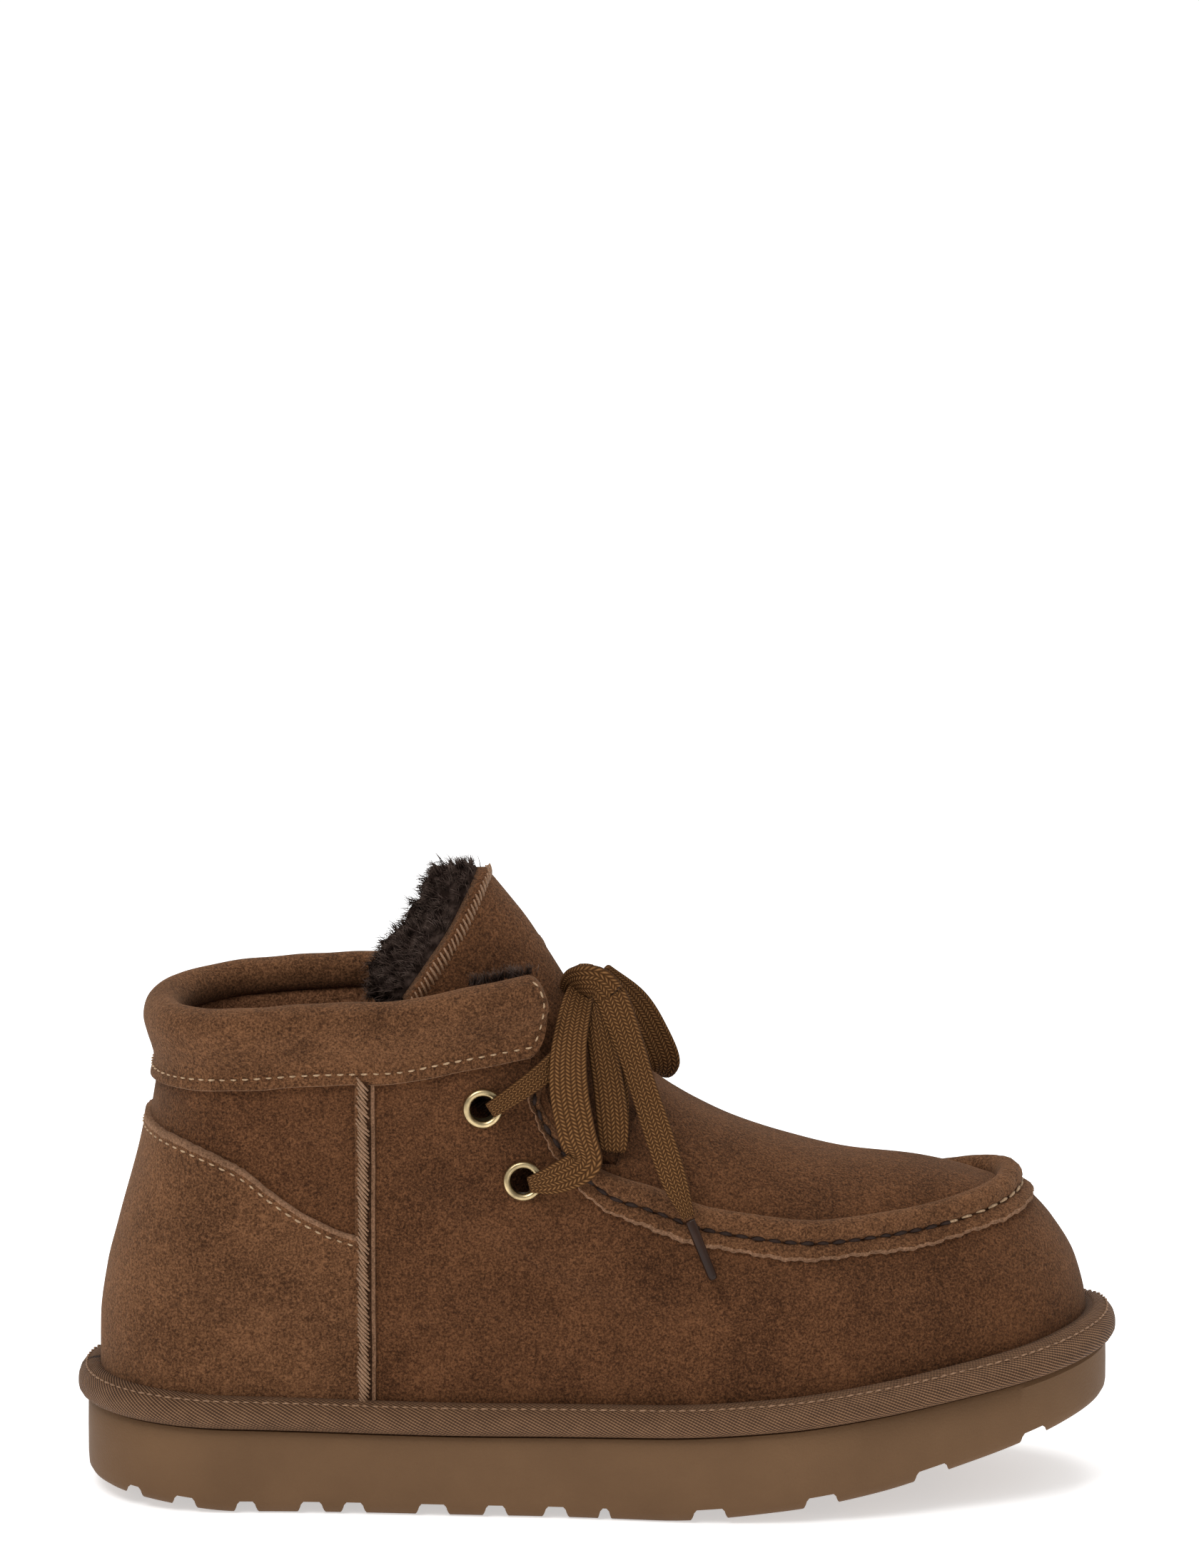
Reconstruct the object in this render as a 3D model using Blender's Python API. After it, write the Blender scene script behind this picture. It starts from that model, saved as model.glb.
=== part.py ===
"""A right-foot ankle boot in suede with a fleece lining, a raised moccasin seam and a lugged sole.

Metres, +Z up, +X to the toe. The outer side of the foot is at -Y.
The origin is on the floor, under the middle of the heel's flat tread bar.
Lengths along the boot are measured from the back of the outsole, as shares of its length.
"""

import math

import bmesh
import bpy
from mathutils import Vector

# Driving sizes of the sole
SOLE_LENGTH = 0.280
BALL_WIDTH = 0.097
WAIST_WIDTH = 0.080
HEEL_WIDTH = 0.075
TOE_WIDTH = 0.085
HEEL_TOP = 0.0238  # top of the outsole above the floor, at the heel
TOE_LIFT = 0.0155  # how much higher the top of the outsole is at the toe
TREAD_LIFT = 0.0235  # how high the tread is at the toe
HEEL_ROLL = 0.0036  # how high the tread is at the back of the heel
LUG_DEPTH = 0.0036
BINDING_HEIGHT = 0.0088
BINDING_BULGE = 0.0026  # how far the binding stands out past the outsole
INSOLE_THICKNESS = 0.009

# Driving sizes of the upper
COLLAR_TOP = 0.141  # the collar above the floor, beside the ankle
WALL = 0.003
EDGE_INSET = 0.0047  # from the outsole's edge in to the foot of the upper
HEEL_LEAN = 0.0170  # how far the back of the heel leans in up to the collar
TOE_LEAN = 0.0180  # how far the toe wall leans back up to the moccasin seam
SIDE_LEAN = 0.0125  # how far the ball's side wall leans in up to the seam
INSTEP_HEIGHT = 0.1150  # the apron's back edge above the floor, on the middle line
THROAT_BOW = 0.0100  # how far the middle of that edge lies in front of its two ends
COLLAR_HEIGHT = 0.0225
COLLAR_ROLL = 0.0042  # how far the padded roll stands out from the wall
COLLAR_INNER = 0.0052  # how far the roll reaches in over the lining
SKIRT = 0.0017  # thickness of the collar's stitched lower part
SEAM_ROLL = 0.0036  # radius of the rolled moccasin seam
SEAM_FLANGE = 0.0044  # width of the raw edge below the seam
FLANGE_THICKNESS = 0.0016
COUNTER_THICKNESS = 0.0013
SIDE_SEAM_WIDTH = 0.0054
SIDE_SEAM_RIB = 0.0022
TONGUE_TOP = 0.1725
TONGUE_THICKNESS = 0.0025
TONGUE_WIDTH = 0.051
TONGUE_WRAP = 0.042  # how far its two sides wrap back
TONGUE_SLANT = 0.031  # how much lower its top edge is at the sides
FLEECE_DEPTH = 0.0095

# Driving sizes of the lacing
EYELET_RADIUS = 0.0055
EYELET_HOLE = 0.0034
EYELET_LIP = 0.0010
LACE_WIDTH = 0.0088
LACE_THICKNESS = 0.0020
AGLET_LENGTH = 0.0175
AGLET_RADIUS = 0.0014

# Fits
GAP = 0.0003  # between pieces that touch
TRIM = 0.0005  # between the upper and what is cut to lie on it
BARREL = 0.0005  # wall of an eyelet's barrel

OUTER, INNER = -1, 1  # the sides of the foot, as signs of Y

# The plan of the outsole. shift moves the middle line to the inner side, as a share of the ball's width
PLAN = (
    {"along": 0.00, "width": "heel", "shift": 0.000},
    {"along": 0.17, "width": "heel", "shift": 0.000},
    {"along": 0.42, "width": "waist", "shift": -0.020},
    {"along": 0.68, "width": "ball", "shift": -0.006},
    {"along": 0.88, "width": "toe", "shift": 0.050},
    {"along": 1.00, "width": "toe", "shift": 0.085},
)
PLAN_WIDTHS = {"heel": HEEL_WIDTH, "waist": WAIST_WIDTH, "ball": BALL_WIDTH, "toe": TOE_WIDTH}
HEEL_ROUND = 0.140  # share of the length over which the heel rounds off
TOE_ROUND = 0.235
ROUND_POWER = 2.25  # 2 is an ellipse, more is squarer

# The sole seen from the side. top and tread are shares of the lifts named above
SOLE_LINES = (
    {"along": 0.00, "top": 0.10, "tread": 0.00, "roll": 1.00},
    {"along": 0.06, "top": 0.05, "tread": 0.00, "roll": 0.60},
    {"along": 0.15, "top": -0.02, "tread": 0.00, "roll": 0.00},
    {"along": 0.35, "top": -0.08, "tread": 0.00, "roll": 0.00},
    {"along": 0.56, "top": -0.02, "tread": 0.00, "roll": 0.00},
    {"along": 0.68, "top": 0.13, "tread": 0.13, "roll": 0.00},
    {"along": 0.78, "top": 0.33, "tread": 0.31, "roll": 0.00},
    {"along": 0.86, "top": 0.54, "tread": 0.54, "roll": 0.00},
    {"along": 0.93, "top": 0.74, "tread": 0.76, "roll": 0.00},
    {"along": 1.00, "top": 1.00, "tread": 1.00, "roll": 0.00},
)

# The grooves between the tread bars, from the side: where each starts and ends along the outsole
GROOVES = (
    {"start": 0.042, "end": 0.056},
    {"start": 0.088, "end": 0.109},
    {"start": 0.149, "end": 0.168},
    {"start": 0.211, "end": 0.233},
    {"start": 0.253, "end": 0.273},
    {"start": 0.326, "end": 0.354},
    {"start": 0.391, "end": 0.411},
    {"start": 0.449, "end": 0.470},
    {"start": 0.502, "end": 0.512},
    {"start": 0.593, "end": 0.624},
    {"start": 0.702, "end": 0.732},
    {"start": 0.809, "end": 0.840},
    {"start": 0.913, "end": 0.937},
)
REST_BAR = (0.168, 0.211)  # the heel's flat tread bar, which holds the origin

# How the ends of the upper lean in with height, as shares of HEEL_LEAN and TOE_LEAN
END_LINES = (
    {"height": 0.17, "heel": 0.00, "toe": 0.00},
    {"height": 0.34, "heel": 0.02, "toe": 0.05},
    {"height": 0.43, "heel": 0.12, "toe": 0.21},
    {"height": 0.51, "heel": 0.29, "toe": 0.57},
    {"height": 0.56, "heel": 0.40, "toe": 0.92},
    {"height": 0.60, "heel": 0.49, "toe": 1.28},
    {"height": 0.68, "heel": 0.67, "toe": 1.75},
    {"height": 0.76, "heel": 0.80, "toe": 1.90},
    {"height": 0.86, "heel": 0.92, "toe": 1.95},
    {"height": 1.00, "heel": 1.00, "toe": 1.95},
)

# How the sides lean in from the foot of the upper, as shares of SIDE_LEAN, at five heights
SIDE_LINES = (
    {"along": 0.00, "low": 0.00, "shin": 0.00, "seam": 0.00, "instep": 0.05, "top": 0.10},
    {"along": 0.28, "low": 0.00, "shin": -0.05, "seam": -0.02, "instep": 0.05, "top": 0.12},
    {"along": 0.44, "low": 0.00, "shin": -0.02, "seam": 0.06, "instep": 0.32, "top": 0.58},
    {"along": 0.56, "low": 0.00, "shin": 0.04, "seam": 0.28, "instep": 0.85, "top": 1.50},
    {"along": 0.68, "low": 0.00, "shin": 0.15, "seam": 0.86, "instep": 1.80, "top": 2.40},
    {"along": 0.86, "low": 0.00, "shin": 0.18, "seam": 0.80, "instep": 1.60, "top": 2.20},
    {"along": 1.00, "low": 0.00, "shin": 0.10, "seam": 0.60, "instep": 1.20, "top": 1.60},
)
SIDE_HEIGHTS = {"low": 0.24, "shin": 0.395, "seam": 0.53, "instep": 0.70, "top": 1.00}

# The edge of one side, from the heel up round the collar, down the facing and along the seam.
# foot is the place on the sole's edge below it
EDGE_PATH = (
    {"name": "heel", "along": 0.000, "height": 0.912, "foot": 0.000},
    {"name": "ankle", "along": 0.240, "height": 0.936, "foot": 0.270},
    {"name": "collar_front", "along": 0.430, "height": 0.985, "foot": 0.430},
    {"name": "facing", "along": 0.453, "height": 0.810, "foot": 0.470},
    {"name": "facing_foot", "along": 0.494, "height": 0.690, "foot": 0.510},
    {"name": "throat", "along": 0.519, "height": 0.684, "foot": 0.550},
    {"name": "instep_seam", "along": 0.580, "height": 0.578, "foot": 0.620},
    {"name": "ball", "along": 0.720, "height": 0.524, "foot": 0.735},
    {"name": "toe_side", "along": 0.880, "height": 0.560, "foot": 0.880},
    {"name": "toe", "along": 1.000, "height": 0.578, "foot": 1.000},
)
COLUMNS = {"heel": 6, "ankle": 4, "collar_front": 1, "facing": 2, "facing_foot": 1,
           "throat": 2, "instep_seam": 3, "ball": 4, "toe_side": 6}
WALL_ROWS = 6

# The apron's middle line, as shares of the rise from the toe's seam to the apron's back edge
APRON_LINE = (
    {"along": 0.550, "rise": 1.00},
    {"along": 0.575, "rise": 0.86},
    {"along": 0.600, "rise": 0.74},
    {"along": 0.632, "rise": 0.612},
    {"along": 0.683, "rise": 0.460},
    {"along": 0.746, "rise": 0.320},
    {"along": 0.809, "rise": 0.248},
    {"along": 0.857, "rise": 0.150},
    {"along": 0.893, "rise": 0.045},
    {"along": 0.926, "rise": 0.000},
)
APRON_POWER = 2.6  # how flat the crown is across
APRON_ACROSS = 10

# The collar's section. out is a sum of shares of SKIRT, COLLAR_ROLL and COLLAR_INNER, down of its height
COLLAR_SECTION = (
    {"skirt": -1.0, "roll": 0.00, "inner": 0.00, "down": 1.00},
    {"skirt": 1.0, "roll": 0.00, "inner": 0.00, "down": 1.00},
    {"skirt": 1.0, "roll": 0.00, "inner": 0.00, "down": 0.74},
    {"skirt": 1.0, "roll": 0.20, "inner": 0.00, "down": 0.60},
    {"skirt": 0.5, "roll": 0.80, "inner": 0.00, "down": 0.42},
    {"skirt": 0.5, "roll": 1.00, "inner": 0.00, "down": 0.26},
    {"skirt": 0.5, "roll": 0.84, "inner": 0.00, "down": 0.11},
    {"skirt": 0.0, "roll": 0.48, "inner": 0.00, "down": 0.025},
    {"skirt": 0.0, "roll": 0.00, "inner": 0.10, "down": 0.00},
    {"skirt": 0.0, "roll": 0.00, "inner": 0.66, "down": 0.05},
    {"skirt": 0.0, "roll": 0.00, "inner": 1.00, "down": 0.17},
    {"skirt": 0.0, "roll": 0.00, "inner": 0.98, "down": 0.30},
    {"skirt": 0.0, "roll": 0.00, "inner": 0.74, "down": 0.365},
    {"skirt": -1.0, "roll": 0.00, "inner": 0.00, "down": 0.365},
)
COLLAR_CROWN = (
    {"along": 0.00, "rise": -0.0034},
    {"along": 0.17, "rise": 0.0000},
    {"along": 0.27, "rise": 0.0010},
    {"along": 0.34, "rise": 0.0040},
    {"along": 0.44, "rise": 0.0078},
)
COLLAR_FRONT = 0.451
COLLAR_CORNER = 0.022  # share of the length over which its front end rounds off

# The seam's line on the wall, where the raw edge is stitched, from the collar's front to the toe.
# roll is how much of the rolled seam stands above it
SEAM_PATH = (
    {"along": 0.4420, "height": 0.845, "roll": 0.00},
    {"along": 0.4380, "height": 0.815, "roll": 0.00},
    {"along": 0.4440, "height": 0.780, "roll": 0.00},
    {"along": 0.4600, "height": 0.727, "roll": 0.15},
    {"along": 0.4860, "height": 0.664, "roll": 0.50},
    {"along": 0.5150, "height": 0.622, "roll": 0.90},
    {"along": 0.5480, "height": 0.598, "roll": 1.00},
    {"along": 0.6030, "height": 0.556, "roll": 1.00},
    {"along": 0.6520, "height": 0.538, "roll": 1.00},
    {"along": 0.7200, "height": 0.524, "roll": 1.00},
    {"along": 0.7990, "height": 0.532, "roll": 1.00},
    {"along": 0.8800, "height": 0.560, "roll": 1.00},
    {"along": 1.0000, "height": 0.578, "roll": 1.00},
)

COUNTER_LINE = (
    {"along": 0.000, "height": 0.741},
    {"along": 0.060, "height": 0.720},
    {"along": 0.123, "height": 0.680},
    {"along": 0.160, "height": 0.638},
    {"along": 0.196, "height": 0.599},
    {"along": 0.234, "height": 0.566},
    {"along": 0.275, "height": 0.544},
)
SIDE_SEAM_AT = 0.2755

EYELETS = (
    {"name": "upper", "along": 0.3893, "height": 0.798},
    {"name": "lower", "along": 0.4282, "height": 0.6575},
)

# The tongue's front line from the side, as shares of TONGUE_TOP, and how wide it is there
TONGUE_LINE = (
    {"height": 0.580, "along": 0.589, "width": 0.90},
    {"height": 0.614, "along": 0.566, "width": 0.92},
    {"height": 0.667, "along": 0.534, "width": 0.96},
    {"height": 0.725, "along": 0.507, "width": 0.98},
    {"height": 0.771, "along": 0.489, "width": 1.00},
    {"height": 0.817, "along": 0.471, "width": 1.00},
    {"height": 0.864, "along": 0.4532, "width": 1.00},
    {"height": 0.917, "along": 0.4325, "width": 1.00},
    {"height": 0.961, "along": 0.4114, "width": 1.00},
    {"height": 1.000, "along": 0.3918, "width": 1.00},
)
TONGUE_FOOT = 0.60  # its hidden lower end, as a share of TONGUE_TOP

# The laces: along as a share of the length, across of BALL_WIDTH, up of TONGUE_TOP,
# size of the lace's full width, and the direction its width lies in
LACE_NEAR = (
    {"along": 0.4340, "across": -0.402, "up": 0.538, "size": 0.50, "wide": (-0.1, 0.0, 1.0)},
    {"along": 0.4620, "across": -0.405, "up": 0.549, "size": 0.85, "wide": (-0.3, 0.0, 1.0)},
    {"along": 0.4830, "across": -0.400, "up": 0.572, "size": 1.00, "wide": (-0.7, 0.0, 0.7)},
    {"along": 0.4780, "across": -0.365, "up": 0.622, "size": 1.00, "wide": (-1.0, 0.0, 0.1)},
    {"along": 0.4700, "across": -0.275, "up": 0.695, "size": 0.90, "wide": (-1.0, 0.1, 0.0)},
    {"along": 0.4760, "across": -0.150, "up": 0.762, "size": 0.60, "wide": (-0.9, 0.4, 0.0)},
)
LACE_BAR = (
    {"along": 0.3960, "across": -0.388, "up": 0.655, "size": 0.50, "wide": (-0.3, 0.0, 1.0)},
    {"along": 0.4350, "across": -0.362, "up": 0.696, "size": 0.65, "wide": (-0.5, 0.0, 0.9)},
    {"along": 0.4590, "across": -0.305, "up": 0.722, "size": 0.70, "wide": (-0.5, 0.0, 0.9)},
    {"along": 0.4850, "across": -0.150, "up": 0.748, "size": 0.70, "wide": (-0.5, 0.0, 0.9)},
    {"along": 0.5075, "across": -0.020, "up": 0.757, "size": 0.60, "wide": (-0.5, 0.0, 0.9)},
)
KNOT = {"along": 0.4945, "across": -0.025, "up": 0.822, "length": 1.25, "breadth": 1.40, "rise": 1.00}
LOOP_NEAR = (
    {"along": 0.4900, "across": -0.0975, "up": 0.824, "size": 0.50, "wide": (-1.0, 0.2, 0.0)},
    {"along": 0.501, "across": -0.210, "up": 0.770, "size": 0.75, "wide": (-1.0, 0.0, 0.1)},
    {"along": 0.512, "across": -0.300, "up": 0.680, "size": 0.95, "wide": (-1.0, 0.0, 0.1)},
    {"along": 0.517, "across": -0.355, "up": 0.625, "size": 1.00, "wide": (-1.0, 0.0, 0.1)},
    {"along": 0.518, "across": -0.345, "up": 0.588, "size": 0.90, "wide": (-1.0, 0.0, 0.1)},
    {"along": 0.519, "across": -0.308, "up": 0.610, "size": 0.90, "wide": (-1.0, 0.0, 0.1)},
    {"along": 0.518, "across": -0.262, "up": 0.665, "size": 0.90, "wide": (-1.0, 0.0, 0.1)},
    {"along": 0.512, "across": -0.175, "up": 0.742, "size": 0.75, "wide": (-1.0, 0.0, 0.1)},
    {"along": 0.5030, "across": -0.0975, "up": 0.803, "size": 0.50, "wide": (-1.0, 0.2, 0.0)},
)
LOOP_FAR = (
    {"along": 0.5070, "across": 0.0480, "up": 0.822, "size": 0.55, "wide": (0.3, 0.8, 0.2)},
    {"along": 0.545, "across": 0.150, "up": 0.755, "size": 0.95, "wide": (0.1, 1.0, 0.0)},
    {"along": 0.570, "across": 0.190, "up": 0.685, "size": 1.00, "wide": (0.0, 1.0, 0.0)},
    {"along": 0.578, "across": 0.215, "up": 0.632, "size": 1.00, "wide": (0.0, 1.0, 0.0)},
    {"along": 0.560, "across": 0.225, "up": 0.622, "size": 1.00, "wide": (0.0, 1.0, 0.0)},
    {"along": 0.545, "across": 0.225, "up": 0.668, "size": 1.00, "wide": (0.0, 1.0, 0.0)},
    {"along": 0.528, "across": 0.185, "up": 0.728, "size": 0.90, "wide": (0.1, 1.0, 0.0)},
    {"along": 0.4960, "across": 0.0480, "up": 0.798, "size": 0.55, "wide": (0.3, 0.8, 0.2)},
)
END_NEAR = (
    {"along": 0.5180, "across": -0.030, "up": 0.834, "size": 0.70, "wide": (-0.2, 0.9, 0.3)},
    {"along": 0.5380, "across": -0.105, "up": 0.790, "size": 0.95, "wide": (-0.7, 0.6, 0.2)},
    {"along": 0.551, "across": -0.210, "up": 0.705, "size": 1.00, "wide": (-0.9, 0.3, 0.1)},
    {"along": 0.567, "across": -0.330, "up": 0.610, "size": 1.00, "wide": (-1.0, 0.1, 0.1)},
    {"along": 0.580, "across": -0.412, "up": 0.530, "size": 0.85, "wide": (-1.0, 0.1, 0.1)},
    {"along": 0.588, "across": -0.436, "up": 0.490, "size": 0.45, "wide": (-1.0, 0.1, 0.1)},
)
AGLET_NEAR = {"start": (0.589, -0.440, 0.486), "end": (0.614, -0.462, 0.386)}
END_FAR = (
    {"along": 0.4970, "across": -0.020, "up": 0.8565, "size": 0.70, "wide": (1.0, 0.1, 0.0)},
    {"along": 0.5100, "across": 0.110, "up": 0.845, "size": 0.95, "wide": (1.0, 0.2, 0.0)},
    {"along": 0.513, "across": 0.260, "up": 0.745, "size": 1.00, "wide": (1.0, 0.1, 0.0)},
    {"along": 0.517, "across": 0.375, "up": 0.630, "size": 1.00, "wide": (1.0, 0.1, 0.0)},
    {"along": 0.522, "across": 0.440, "up": 0.530, "size": 0.85, "wide": (1.0, 0.1, 0.0)},
    {"along": 0.524, "across": 0.462, "up": 0.490, "size": 0.45, "wide": (1.0, 0.1, 0.0)},
)
AGLET_FAR = {"start": (0.5245, 0.465, 0.486), "end": (0.530, 0.482, 0.384)}

COLOURS = {
    "suede": (0.130, 0.066, 0.032),
    "edge": (0.215, 0.120, 0.066),
    "binding": (0.150, 0.080, 0.040),
    "rubber": (0.120, 0.078, 0.046),
    "fleece": (0.045, 0.032, 0.030),
    "brass": (0.46, 0.36, 0.20),
    "lace": (0.115, 0.060, 0.020),
    "aglet": (0.060, 0.030, 0.018),
}


def spline_through(rows, key, at, along="along"):
    """The smooth value of a table's column at a place, with no overshoot between its rows."""
    places = [row[along] for row in rows]
    values = [row[key] for row in rows]
    if at <= places[0]:
        return values[0]
    if at >= places[-1]:
        return values[-1]
    i = max(k for k in range(len(places) - 1) if places[k] <= at)
    slopes = [(values[k + 1] - values[k]) / (places[k + 1] - places[k]) for k in range(len(places) - 1)]

    def tangent(k):
        if k == 0:
            return slopes[0]
        if k == len(slopes):
            return slopes[-1]
        before, after = slopes[k - 1], slopes[k]
        return 0.0 if before * after <= 0 else 2 * before * after / (before + after)

    width = places[i + 1] - places[i]
    t = (at - places[i]) / width
    return (
        (2 * t**3 - 3 * t**2 + 1) * values[i]
        + (t**3 - 2 * t**2 + t) * width * tangent(i)
        + (3 * t**2 - 2 * t**3) * values[i + 1]
        + (t**3 - t**2) * width * tangent(i + 1)
    )


ORIGIN_ALONG = (REST_BAR[0] + REST_BAR[1]) / 2
PLAN_SIZES = tuple({**row, "size": PLAN_WIDTHS[row["width"]]} for row in PLAN)
SIDE_ORDER = tuple(SIDE_HEIGHTS)


def x_at(along):
    return (along - ORIGIN_ALONG) * SOLE_LENGTH


def rounding(along):
    """How much of its width the plan keeps near its two ends."""
    share = 1.0
    for distance, reach in ((along, HEEL_ROUND), (1 - along, TOE_ROUND)):
        if distance < reach:
            near = max(0.0, 1 - distance / reach)
            share *= max(0.0, 1 - near**ROUND_POWER) ** (1 / ROUND_POWER)
    return share


def middle(along):
    return spline_through(PLAN, "shift", along) * BALL_WIDTH


def half_width(along):
    return spline_through(PLAN_SIZES, "size", along) / 2


def sole_top(along):
    return HEEL_TOP + TOE_LIFT * spline_through(SOLE_LINES, "top", along)


def sole_tread(along):
    return TREAD_LIFT * spline_through(SOLE_LINES, "tread", along) + HEEL_ROLL * spline_through(
        SOLE_LINES, "roll", along
    )


def plan_point(along, side, inset, z):
    """A point of the sole's outline, moved in by inset all round."""
    scale = rounding(along)
    shrink = 1 - 2 * inset / SOLE_LENGTH
    x = x_at(0.5 + (along - 0.5) * shrink)
    return Vector((x, middle(along) + side * (half_width(along) - inset) * scale, z))


def ends_at(z):
    """The shares of the length where the upper's back and toe are, at a height."""
    share = z / COLLAR_TOP
    back = EDGE_INSET + HEEL_LEAN * spline_through(END_LINES, "heel", share, "height")
    front = EDGE_INSET + TOE_LEAN * spline_through(END_LINES, "toe", share, "height")
    return back / SOLE_LENGTH, 1 - front / SOLE_LENGTH


def side_lean(along, z):
    """How far the side of the upper leans in at a place and height."""
    rows = [
        {"height": SIDE_HEIGHTS[name], "lean": spline_through(SIDE_LINES, name, along)}
        for name in SIDE_ORDER
    ]
    return SIDE_LEAN * spline_through(rows, "lean", z / COLLAR_TOP, "height")


def body(along, side, z):
    """A point on the outside of the upper. along runs from its back to its toe at that height."""
    back, front = ends_at(z)
    inset = EDGE_INSET + side_lean(along, z)
    y = middle(along) + side * (half_width(along) - inset) * rounding(along)
    return Vector((x_at(back + along * (front - back)), y, z))


def body_along(place, z):
    """The along for body() of a place given as a share of the outsole's length."""
    back, front = ends_at(z)
    return min(1.0, max(0.0, (place - back) / (front - back)))


def out_of(along, side, z):
    """The direction out of the upper at a point of body()."""
    step, rise = 0.004, 0.0005
    a = max(0.0, along - step)
    b = min(1.0, along + step)
    if a < 2 * step and along < 2 * step:
        forward = Vector((0, side, 0))
    elif b > 1 - 2 * step:
        forward = Vector((0, -side, 0))
    else:
        forward = body(b, side, z) - body(a, side, z)
    upward = body(along, side, z + rise) - body(along, side, z - rise)
    direction = forward.cross(upward) * -side
    return direction.normalized()


def on_wall(place, side, z, offset):
    """A point on the upper at a share of the outsole's length, moved out by offset."""
    along = body_along(place, z)
    return body(along, side, z) + out_of(along, side, z) * offset


def material(name):
    made = bpy.data.materials.get(name) or bpy.data.materials.new(name)
    made.use_nodes = True
    shader = made.node_tree.nodes["Principled BSDF"]
    shader.inputs["Base Color"].default_value = (*COLOURS[name], 1)
    shader.inputs["Roughness"].default_value = 0.3 if name in ("brass", "aglet") else 0.9
    shader.inputs["Metallic"].default_value = 1.0 if name == "brass" else 0.0
    return made


def add_object(name, points, faces, finish):
    mesh = bpy.data.meshes.new(name)
    mesh.from_pydata([tuple(p) for p in points], [], faces)
    made = bpy.data.objects.new(name, mesh)
    bpy.context.scene.collection.objects.link(made)
    tidy = bmesh.new()
    tidy.from_mesh(mesh)
    bmesh.ops.remove_doubles(tidy, verts=tidy.verts, dist=1e-6)
    bmesh.ops.recalc_face_normals(tidy, faces=tidy.faces)
    tidy.to_mesh(mesh)
    tidy.free()
    mesh.shade_smooth()
    mesh.set_sharp_from_angle(angle=math.radians(40))
    mesh.materials.append(material(finish))
    return made


def grid_faces(rows, columns, closed_rows=False, closed_columns=False):
    """The quads of a grid of points listed row by row."""
    faces = []
    for i in range(rows if closed_rows else rows - 1):
        for j in range(columns if closed_columns else columns - 1):
            a, b = i * columns + j, i * columns + (j + 1) % columns
            c = ((i + 1) % rows) * columns
            faces.append((a, b, c + (j + 1) % columns, c + j))
    return faces


def sweep(name, rings, finish, closed=False):
    """A solid through closed rings of points, capped at its ends or joined into a loop."""
    count = len(rings[0])
    points = [p for ring in rings for p in ring]
    faces = grid_faces(len(rings), count, closed_rows=closed, closed_columns=True)
    if not closed:
        faces += [tuple(range(count)), tuple((len(rings) - 1) * count + k for k in range(count))]
    return add_object(name, points, faces, finish)


def cut(target, cutter, operation="DIFFERENCE", folded=False):
    """A Boolean, applied at once so that the helper can be removed."""
    modifier = target.modifiers.new("cut", "BOOLEAN")
    modifier.operation, modifier.object, modifier.solver = operation, cutter, "EXACT"
    modifier.use_self = folded
    graph = bpy.context.evaluated_depsgraph_get()
    mesh = bpy.data.meshes.new_from_object(target.evaluated_get(graph))
    target.modifiers.clear()
    target.data = mesh
    bpy.data.objects.remove(cutter)


def ring_stations(count):
    """Shares along one side from heel to toe, closer together at the rounded ends."""
    return [0.5 - 0.5 * math.cos(math.pi * k / count) for k in range(count + 1)]


def around(count):
    """(along, side) all the way round the plan, from the heel along the outer side and back."""
    stations = ring_stations(count)
    return [(s, OUTER) for s in stations] + [(s, INNER) for s in reversed(stations[1:-1])]


def cap_faces(base, count):
    """Faces straight across a ring of around(), from one side of the foot to the other."""
    half = count // 2
    faces = [(base, base + 1, base + count - 1)]
    for k in range(1, half - 1):
        faces.append((base + k, base + k + 1, base + count - k - 1, base + count - k))
    faces.append((base + half - 1, base + half, base + half + 1))
    return faces


def make_outsole():
    """One block with the sole's outline, then grooved across between the tread bars."""
    stations = around(30)
    rows = []
    for place, drop in (("tread", 0.0), ("side", 0.12), ("side", 0.95), ("top", 1.0)):
        ring = []
        for along, side in stations:
            low, high = sole_tread(along), sole_top(along)
            inset = {"tread": 0.0022, "side": 0.0, "top": 0.0008}[place]
            ring.append(plan_point(along, side, inset, low + (high - low) * drop))
        rows.append(ring)
    count = len(stations)
    points = [p for ring in rows for p in ring]
    faces = grid_faces(len(rows), count, closed_columns=True)
    faces += cap_faces(0, count) + cap_faces((len(rows) - 1) * count, count)
    return add_object("outsole", points, faces, "rubber")


def groove_cutters():
    """A box across the sole for each groove, its roof along the tread's own slope."""
    points, faces = [], []
    reach, deep = BALL_WIDTH, 0.012
    for groove in GROOVES:
        base = len(points)
        ends = (groove["start"], groove["end"])
        for y in (-reach, reach):
            roof = [Vector((x_at(a), y, sole_tread(a) + LUG_DEPTH)) for a in ends]
            floor = [Vector((p.x, y, p.z - deep)) for p in reversed(roof)]
            points += roof + floor
        faces += [(base, base + 1, base + 2, base + 3), (base + 7, base + 6, base + 5, base + 4)]
        faces += [(base + k, base + 4 + k, base + 4 + (k + 1) % 4, base + (k + 1) % 4) for k in range(4)]
    return add_object("groove_cutters", points, faces, "rubber")


def make_binding():
    """A rounded tape round the foot of the upper, resting on the outsole."""
    bulge, foot = -BINDING_BULGE, EDGE_INSET - GAP
    section = ((foot, 0.0), (0.0008, 0.0), (bulge * 0.55, 0.10), (bulge, 0.36),
               (bulge * 0.80, 0.66), (0.0002, 0.92), (foot * 0.5, 1.02), (foot, 0.98))
    rings = []
    for along, side in around(23):
        low = sole_top(along) + GAP
        rings.append([plan_point(along, side, inset, low + BINDING_HEIGHT * up) for inset, up in section])
    return sweep("binding", rings, "binding", closed=True)


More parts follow.
